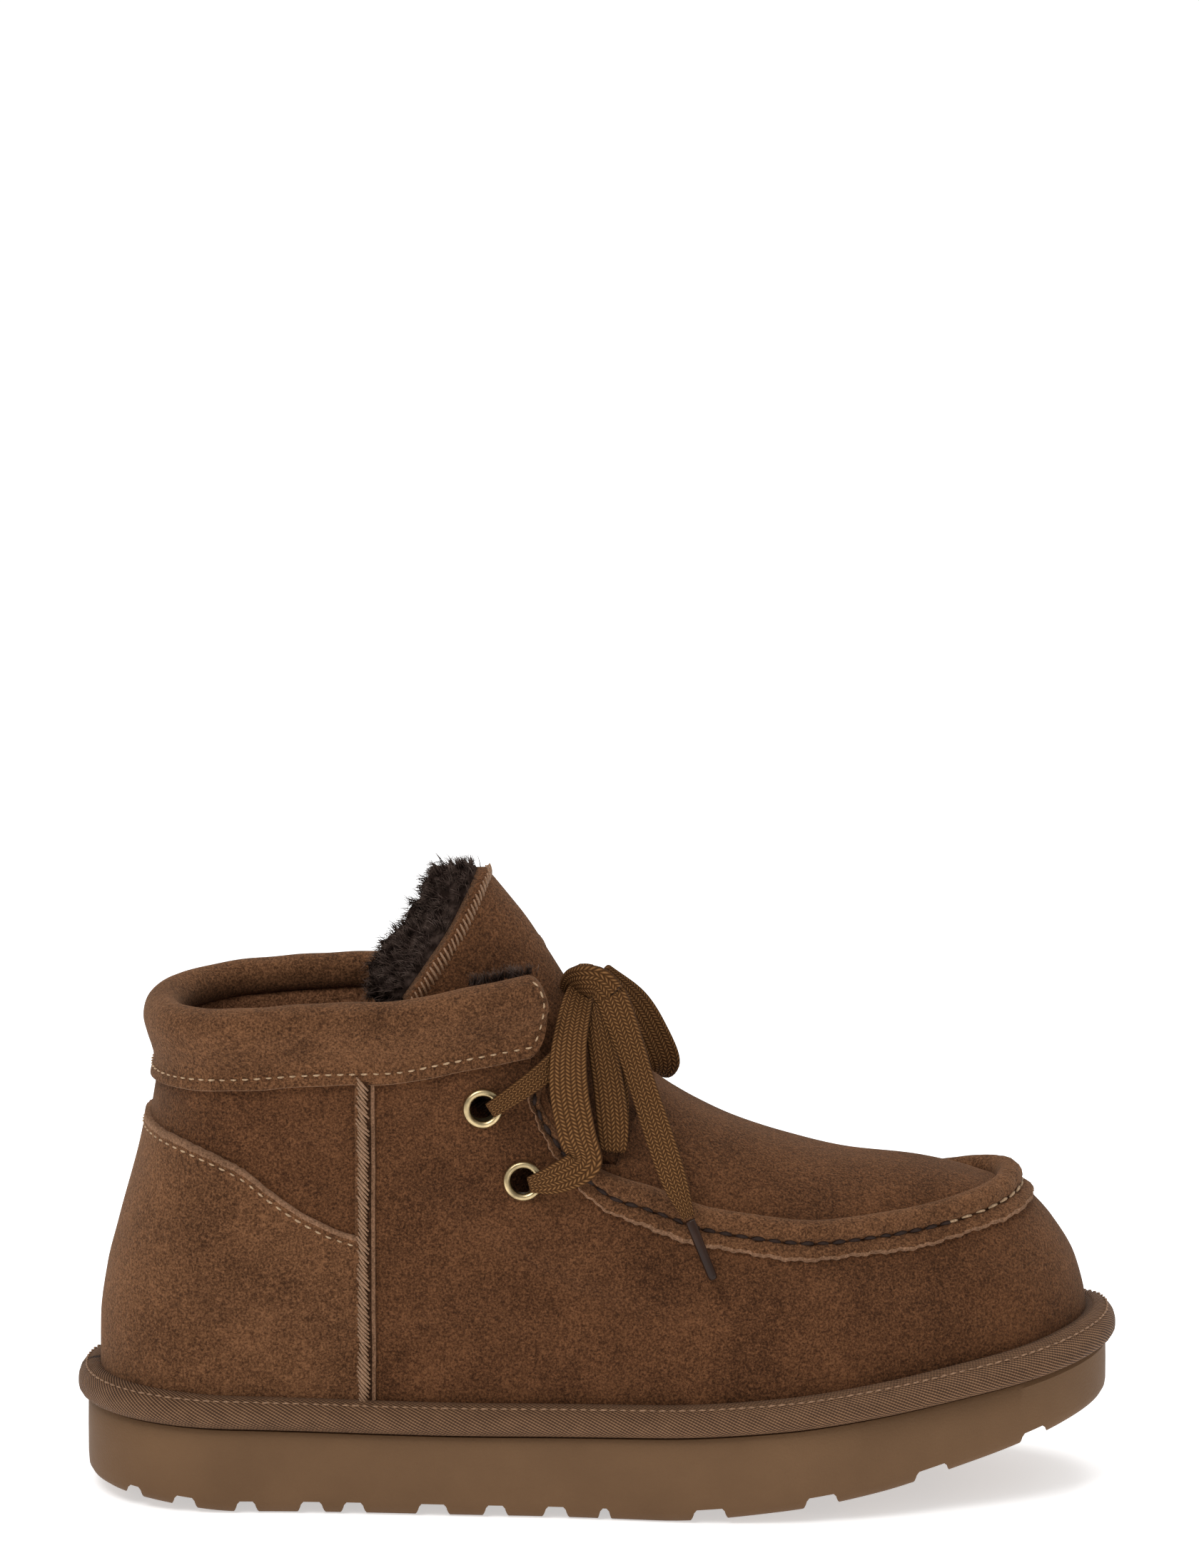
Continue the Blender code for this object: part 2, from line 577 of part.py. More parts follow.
def make_insole():
    """The fleece-covered footbed, inside the upper's walls."""
    inset = EDGE_INSET + WALL + GAP + 0.0006
    stations = around(22)
    count = len(stations)
    rings = [
        [plan_point(a, s, inset + extra, sole_top(a) + GAP + INSOLE_THICKNESS * up) for a, s in stations]
        for extra, up in ((0.0, 0.0), (0.0, 0.7), (0.003, 1.0))
    ]
    points = [p for ring in rings for p in ring]
    faces = grid_faces(len(rings), count, closed_columns=True)
    faces += cap_faces(0, count) + cap_faces((len(rings) - 1) * count, count)
    return add_object("insole", points, faces, "fleece")


def edge_columns():
    """The wall's columns of one side, heel to toe: its top's place and height, and the foot below."""
    keys = ("top", "height", "foot")
    rows = [
        {**row, "step": k, "top": body_along(row["along"], row["height"] * COLLAR_TOP)}
        for k, row in enumerate(EDGE_PATH)
    ]
    columns = []
    for k, row in enumerate(rows[:-1]):
        number = COLUMNS[row["name"]]
        for j in range(number):
            t = j / number
            if row["name"] == "heel":
                t = 1 - math.cos(t * math.pi / 2)
            if row["name"] == "toe_side":
                t = math.sin(t * math.pi / 2)
            found = {key: spline_through(rows, key, k + t, "step") for key in keys}
            columns.append({"name": row["name"] if j == 0 else "", **found})
    columns.append({"name": "toe", **{key: rows[-1][key] for key in keys}})
    return columns


def wall_column(column, side):
    """The points of one column, from the sole's top up to the edge."""
    low = sole_top(column["foot"]) + GAP
    high = column["height"] * COLLAR_TOP
    points = []
    for i in range(WALL_ROWS + 1):
        v = i / WALL_ROWS
        along = column["foot"] + (column["top"] - column["foot"]) * v
        points.append(body(along, side, low + (high - low) * v))
    return points


def apron_height(place):
    """The apron's middle line at a share of the outsole's length."""
    toe = EDGE_PATH[-1]["height"] * COLLAR_TOP
    return toe + (INSTEP_HEIGHT - toe) * spline_through(APRON_LINE, "rise", place)


def index_of(column, side, last):
    """The index in the wall's loop of the top point of a column."""
    place = column if side == OUTER or column in (0, last) else 2 * last - column
    return place * (WALL_ROWS + 1) + WALL_ROWS


def upper_sheet():
    """The points and faces of the wall all round and of the apron over the toes."""
    columns = edge_columns()
    last = len(columns) - 1
    sides = {side: [wall_column(c, side) for c in columns] for side in (OUTER, INNER)}
    loop = sides[OUTER] + sides[INNER][-2:0:-1]
    points = [p for column in loop for p in column]
    faces = grid_faces(len(loop), WALL_ROWS + 1, closed_rows=True)
    throat = next(k for k, c in enumerate(columns) if c["name"] == "throat")
    before = None
    for k in range(throat, last):
        start, end = sides[OUTER][k][-1], sides[INNER][k][-1]
        fade = max(0.0, 1 - (k - throat) / 6)
        row = []
        for j in range(1, APRON_ACROSS):
            across = math.cos(math.pi * j / APRON_ACROSS)
            place = start.lerp(end, 0.5 - across / 2)
            place.x += THROAT_BOW * fade * (1 - across**2)
            rise = apron_height(ORIGIN_ALONG + place.x / SOLE_LENGTH) - place.z
            place.z += max(rise, 0.0) * (1 - abs(across) ** APRON_POWER)
            row.append(place)
        here = [index_of(k, OUTER, last), *range(len(points), len(points) + len(row))]
        here.append(index_of(k, INNER, last))
        points += row
        if before:
            faces += [(before[m], before[m + 1], here[m + 1], here[m]) for m in range(APRON_ACROSS)]
        before = here
    toe = index_of(last, OUTER, last)
    faces += [(before[m], before[m + 1], toe) for m in range(APRON_ACROSS)]
    return points, faces


def thicken(sheet, thickness):
    """Gives an open sheet its thickness, inwards from the face that shows."""
    modifier = sheet.modifiers.new("wall", "SOLIDIFY")
    modifier.thickness, modifier.offset, modifier.use_even_offset = thickness, -1, True
    apply_modifiers(sheet)


def apply_modifiers(target):
    graph = bpy.context.evaluated_depsgraph_get()
    mesh = bpy.data.meshes.new_from_object(target.evaluated_get(graph))
    target.modifiers.clear()
    target.data = mesh


def make_upper():
    points, faces = upper_sheet()
    upper = add_object("upper", points, faces, "suede")
    thicken(upper, WALL)
    for side in (OUTER, INNER):
        for eyelet in EYELETS:
            centre, axis = eyelet_seat(eyelet, side)
            radius = EYELET_HOLE + BARREL + GAP
            profile = ((0, -0.012), (radius, -0.012), (radius, 0.012), (0, 0.012))
            cut(upper, lathe("hole", centre, axis, profile, "suede", 16, solid=True))
    return upper


def upper_mould():
    """A copy of the upper, a gap larger all round, that trims whatever lies on it."""
    points, faces = upper_sheet()
    mould = add_object("mould", points, faces, "suede")
    vertices = mould.data.vertices
    for vertex in vertices:
        vertex.co += vertex.normal * TRIM
    columns = edge_columns()
    front = next(k for k, c in enumerate(columns) if c["name"] == "facing")
    for k, side in [(k, side) for k in range(front + 1) for side in (OUTER, INNER)][1:]:
        top = index_of(k, side, len(columns) - 1)
        vertices[top].co.z += 2 * GAP
    thicken(mould, WALL + 2 * TRIM)
    return mould


def trim(target):
    cut(target, upper_mould(), folded=True)
    keep_largest(target)


def keep_largest(target):
    """Drops the crumbs that a cut leaves beside the piece itself."""
    shape = bmesh.new()
    shape.from_mesh(target.data)
    left, bodies = set(shape.verts), []
    while left:
        found, edge = set(), [left.pop()]
        while edge:
            vertex = edge.pop()
            found.add(vertex)
            near = {e.other_vert(vertex) for e in vertex.link_edges} & left
            left -= near
            edge.extend(near)
        bodies.append(found)
    largest = max(bodies, key=len)
    crumbs = [vertex for found in bodies if found is not largest for vertex in found]
    bmesh.ops.delete(shape, geom=crumbs, context="VERTS")
    shape.to_mesh(target.data)
    shape.free()


def eyelet_seat(eyelet, side):
    z = eyelet["height"] * COLLAR_TOP
    along = body_along(eyelet["along"], z)
    return body(along, side, z), out_of(along, side, z)


def lathe(name, centre, axis, profile, finish, count, solid=False):
    """Turns a profile of (radius, height) round an axis. A solid one starts and ends on the axis."""
    first = axis.orthogonal().normalized()
    second = axis.cross(first)
    rings = []
    for k in range(count):
        angle = 2 * math.pi * k / count
        spoke = first * math.cos(angle) + second * math.sin(angle)
        rings.append([centre + spoke * radius + axis * height for radius, height in profile])
    points = [p for ring in rings for p in ring]
    faces = grid_faces(count, len(profile), closed_rows=True, closed_columns=not solid)
    return add_object(name, points, faces, finish)


def make_eyelets():
    inner, outer = EYELET_HOLE, EYELET_RADIUS
    middle_radius = (inner + outer) / 2
    base, back = GAP + 0.0008, -WALL - 0.0006
    profile = (
        (inner, back), (inner, base + EYELET_LIP * 0.6), (middle_radius, base + EYELET_LIP),
        (outer, base + EYELET_LIP * 0.5), (outer, base), (inner + BARREL, base), (inner + BARREL, back),
    )
    for side, label in ((OUTER, "outer"), (INNER, "inner")):
        for eyelet in EYELETS:
            centre, axis = eyelet_seat(eyelet, side)
            lathe(f"eyelet_{eyelet['name']}_{label}", centre, axis, profile, "brass", 14)


def crest_at(along):
    return COLLAR_TOP + spline_through(COLLAR_CROWN, "rise", along)


def make_collar():
    """The padded roll round the opening, swept along the wall from one front end to the other."""
    start = COLLAR_FRONT - COLLAR_CORNER
    places = [start * (1 - math.cos(math.pi / 2 * k / 13)) for k in range(14)]
    places += [start + COLLAR_CORNER * math.sin(math.pi / 2 * k / 4) for k in (1, 2, 3)]
    places.append(COLLAR_FRONT - 0.0004)
    rings = []
    for side, order in ((OUTER, places[::-1]), (INNER, places[1:])):
        for place in order:
            near = max(0.0, (place - start) / COLLAR_CORNER)
            size = math.sqrt(max(0.0, 1 - near**2))
            crest = crest_at(place)
            ring = []
            for row in COLLAR_SECTION:
                out = row["skirt"] * SKIRT + row["roll"] * COLLAR_ROLL - row["inner"] * COLLAR_INNER
                out = 0.0005 + (out - 0.0005) * (0.45 + 0.55 * size)
                down = 0.45 + (row["down"] - 0.45) * size
                z = crest - down * COLLAR_HEIGHT
                if place == 0:
                    ring.append(body(0.0, side, z) + Vector((-out, 0, 0)))
                else:
                    ring.append(wall_point(place, side, z, out))
            rings.append(ring)
    collar = sweep("collar", rings, "suede")
    trim(collar)
    return collar


def wall_point(place, side, z, offset):
    """A point over the wall whose place is counted so that 0 is always the middle of the heel."""
    along = place * body_along(COLLAR_FRONT, z) / COLLAR_FRONT
    return body(along, side, z) + out_of(along, side, z) * offset


def make_moc_seam():
    """The rolled seam round the apron, with the wall's raw edge lying below it."""
    rows = [
        {**row, "step": k, "top": body_along(row["along"], row["height"] * COLLAR_TOP)}
        for k, row in enumerate(SEAM_PATH)
    ]
    last = len(rows) - 1
    steps = [k / 2 for k in range(2 * last - 1)]
    steps += [last - 1 + math.sin(math.pi / 2 * k / 6) for k in range(1, 7)]
    stations = []
    for side, order in ((OUTER, steps), (INNER, steps[-2::-1])):
        for step in order:
            place = spline_through(rows, "top", step, "step")
            height = spline_through(rows, "height", step, "step")
            roll = spline_through(rows, "roll", step, "step")
            z = height * COLLAR_TOP
            stations.append((body(place, side, z), out_of(place, side, z), roll))
    rings = []
    for k, (centre, out, roll) in enumerate(stations):
        tangent = stations[min(k + 1, len(stations) - 1)][0] - stations[max(k - 1, 0)][0]
        up = out.cross(tangent).normalized()
        rings.append([centre + out * o + up * u for o, u in seam_section(roll)])
    seam = sweep("moc_seam", rings, "suede")
    trim(seam)
    return seam


def seam_section(roll):
    """The seam cut across, as (out from the wall, up along it), from a bare raw edge to the full roll."""
    flange = -SEAM_FLANGE * (0.35 + 0.65 * roll)
    radius = SEAM_ROLL * (0.25 + 0.75 * roll)
    section = [(-0.001, flange), (FLANGE_THICKNESS, flange), (FLANGE_THICKNESS, -0.0006),
               (FLANGE_THICKNESS * 0.8, 0.0002)]
    for angle in (-30, 20, 70, 120, 180):
        turn = math.radians(angle)
        section.append((radius * math.cos(turn) + 0.0002, radius * (0.95 + math.sin(turn))))
    section.append((-0.002, 0.0))
    return section


def make_counter():
    """The heel's lower panel, lying over the wall between its two side seams."""
    end = SIDE_SEAM_AT - SIDE_SEAM_WIDTH / 2 / SOLE_LENGTH - 0.0015
    places = [end * (1 - math.cos(math.pi / 2 * k / 9)) for k in range(10)]
    rows = 5
    grids = {"in": [], "out": []}
    for side, order in ((OUTER, places[::-1]), (INNER, places[1:])):
        for place in order:
            low = sole_top(place) + BINDING_HEIGHT * 1.03 + 2 * GAP
            high = spline_through(COUNTER_LINE, "height", place) * COLLAR_TOP
            for key, offset in (("in", -0.0012), ("out", GAP + COUNTER_THICKNESS)):
                column = []
                for i in range(rows + 1):
                    z = low + (high - low) * i / rows
                    column.append(heel_point(place, end, side, z, offset))
                grids[key].append(column)
    rings = [inner + outer[::-1] for inner, outer in zip(grids["in"], grids["out"])]
    counter = sweep("heel_counter", rings, "suede")
    trim(counter)
    return counter


def heel_point(place, end, side, z, offset):
    """A point over the wall behind the side seam, counted so that 0 is always the middle of the heel."""
    along = body_along(end, z) * place / end
    if along == 0:
        return body(0.0, side, z) + Vector((-offset, 0, 0))
    return body(along, side, z) + out_of(along, side, z) * offset


def make_side_seams():
    """A strip over each side seam, with the rib of twisted thread down its middle."""
    half = SIDE_SEAM_WIDTH / 2
    section = ((-1.0, -0.001), (-1.0, 0.0010), (-0.50, 0.0011), (-0.34, SIDE_SEAM_RIB),
               (0.34, SIDE_SEAM_RIB), (0.50, 0.0011), (1.0, 0.0010), (1.0, -0.001))
    for side, label in ((OUTER, "outer"), (INNER, "inner")):
        low = sole_top(SIDE_SEAM_AT) + BINDING_HEIGHT * 1.03 + 2 * GAP
        high = crest_at(SIDE_SEAM_AT) - COLLAR_HEIGHT - 2 * GAP
        rings = []
        for k in range(9):
            z = low + (high - low) * k / 8
            rings.append([
                on_wall(SIDE_SEAM_AT + across * half / SOLE_LENGTH, side, z, out) for across, out in section
            ])
        trim(sweep(f"side_seam_{label}", rings, "suede"))


def tongue_point(across, z, inward):
    """A point of the tongue, which wraps back round the ankle. inward is measured from its outer face."""
    share = z / TONGUE_TOP
    half = TONGUE_WIDTH / 2 * spline_through(TONGUE_LINE, "width", share, "height")
    x = x_at(spline_through(TONGUE_LINE, "along", share, "height")) - TONGUE_WRAP * across**2
    return Vector((x - inward, middle(0.42) + (half - 0.9 * inward) * across, z))


def tongue_top(across):
    return TONGUE_TOP - TONGUE_SLANT * across**2


def tongue_solid(name, finish, first, depth, foot, reach, bump, columns, rows):
    """A solid between two depths behind the tongue's outer face."""
    rings = []
    for j in range(columns + 1):
        across = -1 + 2 * j / columns
        across = math.copysign(abs(across) ** 0.85, across)
        low, high = TONGUE_TOP * foot, tongue_top(across) + reach
        heights = [low + (high - low) * i / rows for i in range(rows + 1)]
        front = [tongue_point(across, z, first) for z in heights]
        back = [tongue_point(across, z, first + depth + bump * lump(across, z)) for z in heights]
        rings.append(front + back[::-1])
    return sweep(name, rings, finish)


def lump(across, z):
    """A fixed unevenness between -1 and 1."""
    up = z / TONGUE_TOP
    return 0.6 * math.sin(9.1 * across + 31 * up) + 0.4 * math.sin(17.3 * across - 53 * up + 1.0)


def curve_through(rows, steps):
    """The smooth run of a lace's table: points, sizes and width directions."""
    count = len(rows)
    values = [
        (x_at(r["along"]), r["across"] * BALL_WIDTH, r["up"] * TONGUE_TOP, r["size"], *r["wide"])
        for r in rows
    ]
    found = []
    for k in range(count - 1):
        before, start = values[max(k - 1, 0)], values[k]
        end, after = values[k + 1], values[min(k + 2, count - 1)]
        for j in range(steps):
            t = j / steps
            found.append([
                0.5 * (2 * b + (c - a) * t + (2 * a - 5 * b + 4 * c - d) * t**2
                       + (3 * b - a - 3 * c + d) * t**3)
                for a, b, c, d in zip(before, start, end, after)
            ])
    found.append(list(values[-1]))
    return found


def ribbon(name, rows, steps=2):
    """A flat lace along a table of places."""
    stations = curve_through(rows, steps)
    centres = [Vector(s[:3]) for s in stations]
    section = ((-0.5, 0.0), (-0.40, -0.5), (0.40, -0.5), (0.5, 0.0), (0.40, 0.5), (-0.40, 0.5))
    rings = []
    for k, station in enumerate(stations):
        tangent = (centres[min(k + 1, len(centres) - 1)] - centres[max(k - 1, 0)]).normalized()
        wide = Vector(station[4:7])
        wide = (wide - tangent * wide.dot(tangent)).normalized()
        flat = tangent.cross(wide)
        width = LACE_WIDTH * station[3]
        rings.append([centres[k] + wide * w * width + flat * f * LACE_THICKNESS for w, f in section])
    return sweep(name, rings, "lace")


def mirrored(rows):
    """A lace's table carried over to the foot's other side, about the tongue's middle line."""
    centre = 2 * middle(0.42) / BALL_WIDTH
    return tuple(
        {**r, "across": centre - r["across"], "wide": (r["wide"][0], -r["wide"][1], r["wide"][2])}
        for r in rows
    )


def make_laces():
    bar = LACE_BAR[:-1] + mirrored(LACE_BAR)[::-1]
    bars = ribbon("lace_bars", bar)
    cut(bars, ribbon("strand", LACE_NEAR), "UNION")
    cut(bars, ribbon("strand", mirrored(LACE_NEAR)), "UNION")
    make_knot()
    ribbon("lace_loop_near", LOOP_NEAR)
    ribbon("lace_loop_far", LOOP_FAR)
    ribbon("lace_end_near", END_NEAR)
    ribbon("lace_end_far", END_FAR)
    make_aglet("aglet_near", AGLET_NEAR)
    make_aglet("aglet_far", AGLET_FAR)


def lace_place(along, across, up):
    return Vector((x_at(along), across * BALL_WIDTH, up * TONGUE_TOP))


def make_knot():
    """The bow's knot, an uneven rounded block."""
    centre = lace_place(KNOT["along"], KNOT["across"], KNOT["up"])
    reach = [KNOT[key] * LACE_WIDTH / 2 for key in ("length", "breadth", "rise")]
    shape = bmesh.new()
    bmesh.ops.create_uvsphere(shape, u_segments=14, v_segments=8, radius=1.0)
    points = []
    for vertex in shape.verts:
        x, y, z = (math.copysign(abs(c) ** 0.8, c) for c in vertex.co)
        points.append(centre + Vector((x * reach[0], y * reach[1], z * reach[2])))
    shape.verts.index_update()
    faces = [tuple(v.index for v in face.verts) for face in shape.faces]
    shape.free()
    return add_object("lace_knot", points, faces, "lace")


def make_aglet(name, ends):
    start, end = lace_place(*ends["start"]), lace_place(*ends["end"])
    axis = (end - start).normalized()
    radius = AGLET_RADIUS
    profile = ((0, 0), (radius, 0), (radius, AGLET_LENGTH * 0.93),
               (radius * 0.7, AGLET_LENGTH), (0, AGLET_LENGTH))
    return lathe(name, start, axis, profile, "aglet", 12, solid=True)


def clear_scene():
    for thing in list(bpy.data.objects):
        bpy.data.objects.remove(thing)


def main():
    clear_scene()
    outsole = make_outsole()
    cut(outsole, groove_cutters())
    trim(make_binding())
    make_insole()
    make_upper()
    make_collar()
    make_moc_seam()
    make_counter()
    make_side_seams()
    tongue_solid("tongue", "suede", 0.0, TONGUE_THICKNESS, TONGUE_FOOT, 0.0, 0.0, 12, 9)
    tongue_solid("tongue_fleece", "fleece", TONGUE_THICKNESS + 3 * GAP, FLEECE_DEPTH, TONGUE_FOOT + 0.03,
                 0.0005, 0.0012, 12, 11)
    make_eyelets()
    make_laces()


main()
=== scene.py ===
# %% [markdown]
# # A suede moccasin boot
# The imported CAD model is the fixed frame: every piece made here lies where the CAD says.
# All lengths are in metres. +X points to the toe, +Z up, and the outer side of the foot is at -Y.

import math

import bmesh
import bpy
import numpy as np
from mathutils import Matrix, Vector


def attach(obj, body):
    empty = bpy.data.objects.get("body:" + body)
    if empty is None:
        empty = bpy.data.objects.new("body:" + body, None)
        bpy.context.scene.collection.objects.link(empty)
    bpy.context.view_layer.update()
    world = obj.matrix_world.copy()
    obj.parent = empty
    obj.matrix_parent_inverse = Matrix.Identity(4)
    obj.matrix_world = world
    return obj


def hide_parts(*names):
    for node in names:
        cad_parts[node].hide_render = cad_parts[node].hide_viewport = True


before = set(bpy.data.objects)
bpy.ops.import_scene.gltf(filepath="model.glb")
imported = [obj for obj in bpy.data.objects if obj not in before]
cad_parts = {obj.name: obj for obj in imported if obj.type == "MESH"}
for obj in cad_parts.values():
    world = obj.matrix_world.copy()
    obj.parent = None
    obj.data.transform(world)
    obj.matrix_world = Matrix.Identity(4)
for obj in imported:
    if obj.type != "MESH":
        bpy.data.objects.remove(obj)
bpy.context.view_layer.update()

# %% [markdown]
# ## The camera
# A product photo is taken from a few metres with a long lens, so that near and far edges keep
# nearly the same size. The boot is seen from its outer side and from a little above. The view
# direction is set at the boot, and the camera is tipped up a little so that the boot sits low in the frame.

# %% Camera
VIEW_ELEVATION = math.radians(14.0)
VIEW_DISTANCE = 3.0
FRAME_HEIGHT = 0.4300  # what the photo's height covers at the boot
BOOT_CENTRE = Vector((0.0875, 0.0, 0.080))
AIM = Vector((0.0875, 0.0, 0.1953))

camera_data = bpy.data.cameras.new("camera")
camera = bpy.data.objects.new("camera", camera_data)
bpy.context.scene.collection.objects.link(camera)
back = Vector((0, -math.cos(VIEW_ELEVATION), math.sin(VIEW_ELEVATION)))
camera.location = BOOT_CENTRE + back * VIEW_DISTANCE
camera.rotation_euler = (AIM - camera.location).to_track_quat("-Z", "Y").to_euler()
camera_data.sensor_width = 36.0
camera_data.lens = VIEW_DISTANCE * camera_data.sensor_width / FRAME_HEIGHT
camera_data.clip_start, camera_data.clip_end = 0.05, 20.0
bpy.context.scene.camera = camera
print("lens", round(camera_data.lens, 1), "mm")

# %% [markdown]
# ## The boot's own sizes
# A last maker draws a boot as a few curves: the outline of the sole, the lines of its side, and how
# the wall leans in with height. The same curves shape the solids and the pieces made here, so each
# finished piece lies on its solid. Places along the boot are shares of the sole's length.

# %% Sizes
SOLE_LENGTH = 0.280
BALL_WIDTH = 0.097
WAIST_WIDTH = 0.080
HEEL_WIDTH = 0.075
TOE_WIDTH = 0.085
HEEL_TOP = 0.0238
TOE_LIFT = 0.0155
TREAD_LIFT = 0.0235
HEEL_ROLL = 0.0036
LUG_DEPTH = 0.0036
BINDING_HEIGHT = 0.0088
BINDING_BULGE = 0.0026
INSOLE_THICKNESS = 0.009
COLLAR_TOP = 0.141
WALL = 0.003
EDGE_INSET = 0.0047
HEEL_LEAN = 0.0170
TOE_LEAN = 0.0180
SIDE_LEAN = 0.0125
INSTEP_HEIGHT = 0.1150
THROAT_BOW = 0.0100
COLLAR_HEIGHT = 0.0225
COLLAR_ROLL = 0.0042
COLLAR_INNER = 0.0052
SKIRT = 0.0017
SEAM_ROLL = 0.0036
SEAM_FLANGE = 0.0044
FLANGE_THICKNESS = 0.0016
COUNTER_THICKNESS = 0.0013
SIDE_SEAM_WIDTH = 0.0054
TONGUE_TOP = 0.1725
TONGUE_ALONG = 0.42  # where its middle line across the boot is taken
TONGUE_THICKNESS = 0.0025
TONGUE_WIDTH = 0.051
TONGUE_WRAP = 0.042
TONGUE_SLANT = 0.031
FLEECE_DEPTH = 0.0095
EYELET_RADIUS = 0.0055
EYELET_HOLE = 0.0034
LACE_WIDTH = 0.0088
LACE_THICKNESS = 0.0020
AGLET_LENGTH = 0.0175
AGLET_RADIUS = 0.0014
REST_BAR = (0.168, 0.211)
ORIGIN_ALONG = sum(REST_BAR) / 2
HEEL_ROUND = 0.140
TOE_ROUND = 0.235
ROUND_POWER = 2.25
SIDE_SEAM_AT = 0.2755
print("sole", SOLE_LENGTH, "m long, collar", COLLAR_TOP, "m high")

# %% [markdown]
# A last and its sole are drawn as a few lines. Each is a table here, with its place along the boot or
# its height as a share in the first column, because a table is easy to compare with the photo.

# %% Curve tables
PLAN = (
    (0.00, HEEL_WIDTH, 0.000),
    (0.17, HEEL_WIDTH, 0.000),
    (0.42, WAIST_WIDTH, -0.020),
    (0.68, BALL_WIDTH, -0.006),
    (0.88, TOE_WIDTH, 0.050),
    (1.00, TOE_WIDTH, 0.085),
)
SOLE_LINES = (
    (0.00, 0.10, 0.00, 1.00),
    (0.06, 0.05, 0.00, 0.60),
    (0.15, -0.02, 0.00, 0.00),
    (0.35, -0.08, 0.00, 0.00),
    (0.56, -0.02, 0.00, 0.00),
    (0.68, 0.13, 0.13, 0.00),
    (0.78, 0.33, 0.31, 0.00),
    (0.86, 0.54, 0.54, 0.00),
    (0.93, 0.74, 0.76, 0.00),
    (1.00, 1.00, 1.00, 0.00),
)
END_LINES = (
    (0.17, 0.00, 0.00),
    (0.34, 0.02, 0.05),
    (0.43, 0.12, 0.21),
    (0.51, 0.29, 0.57),
    (0.56, 0.40, 0.92),
    (0.60, 0.49, 1.28),
    (0.68, 0.67, 1.75),
    (0.76, 0.80, 1.90),
    (0.86, 0.92, 1.95),
    (1.00, 1.00, 1.95),
)
SIDE_LINES = (
    (0.00, 0.00, 0.00, 0.00, 0.05, 0.10),
    (0.28, 0.00, -0.05, -0.02, 0.05, 0.12),
    (0.44, 0.00, -0.02, 0.06, 0.32, 0.58),
    (0.56, 0.00, 0.04, 0.28, 0.85, 1.50),
    (0.68, 0.00, 0.15, 0.86, 1.80, 2.40),
    (0.86, 0.00, 0.18, 0.80, 1.60, 2.20),
    (1.00, 0.00, 0.10, 0.60, 1.20, 1.60),
)
SIDE_HEIGHTS = (0.24, 0.395, 0.53, 0.70, 1.00)
APRON_LINE = (
    (0.550, 1.00),
    (0.575, 0.86),
    (0.600, 0.74),
    (0.632, 0.612),
    (0.683, 0.460),
    (0.746, 0.320),
    (0.809, 0.248),
    (0.857, 0.150),
    (0.893, 0.045),
    (0.926, 0.000),
)
APRON_POWER = 2.6
COLLAR_CROWN = ((0.00, -0.0034), (0.17, 0.0000), (0.27, 0.0010), (0.34, 0.0040), (0.44, 0.0078))
COUNTER_LINE = (
    (0.0, 0.741), (0.06, 0.720), (0.123, 0.680), (0.16, 0.638), (0.196, 0.599),
    (0.234, 0.566), (0.275, 0.544),
)
TONGUE_LINE = (
    (0.580, 0.589, 0.90),
    (0.614, 0.566, 0.92),
    (0.667, 0.534, 0.96),
    (0.725, 0.507, 0.98),
    (0.771, 0.489, 1.00),
    (0.817, 0.471, 1.00),
    (0.864, 0.4532, 1.00),
    (0.917, 0.4325, 1.00),
    (0.961, 0.4114, 1.00),
    (1.000, 0.3918, 1.00),
)

# %% [markdown]
# A draughtsman bends a thin batten through a few points. The tables are read in the same way, as
# smooth lines that never overshoot their rows, so no bump appears between two of them.

# %% Read the tables
def monotone(places, values, at):
    """A smooth curve through a table that never overshoots its rows."""
    places, values = np.asarray(places, float), np.asarray(values, float)
    slopes = np.diff(values) / np.diff(places)
    tangents = np.concatenate([[slopes[0]], np.zeros(len(slopes) - 1), [slopes[-1]]])
    for k in range(1, len(slopes)):
        before, after = slopes[k - 1], slopes[k]
        tangents[k] = 0.0 if before * after <= 0 else 2 * before * after / (before + after)
    at = np.clip(np.asarray(at, float), places[0], places[-1])
    i = np.clip(np.searchsorted(places, at, side="right") - 1, 0, len(slopes) - 1)
    width = places[i + 1] - places[i]
    t = (at - places[i]) / width
    return (
        (2 * t**3 - 3 * t**2 + 1) * values[i]
        + (t**3 - 2 * t**2 + t) * width * tangents[i]
        + (3 * t**2 - 2 * t**3) * values[i + 1]
        + (t**3 - t**2) * width * tangents[i + 1]
    )


def column(table, number):
    """A table's column as a function of its first column."""
    places = [row[0] for row in table]
    values = [row[number] for row in table]
    return lambda at: monotone(places, values, at)


half_width_at = column(PLAN, 1)
shift_at = column(PLAN, 2)
top_at, tread_at, roll_at = (column(SOLE_LINES, k) for k in (1, 2, 3))
heel_lean_at, toe_lean_at = column(END_LINES, 1), column(END_LINES, 2)
apron_rise_at = column(APRON_LINE, 1)
crown_at = column(COLLAR_CROWN, 1)
counter_at = column(COUNTER_LINE, 1)
tongue_front_at, tongue_share_at = column(TONGUE_LINE, 1), column(TONGUE_LINE, 2)

# %% [markdown]
# The upper's wall is one surface: a place round the foot and a height give a point on it. How far it
# leans in is worked out once on a grid, so that a whole piece can be shaped in one step.

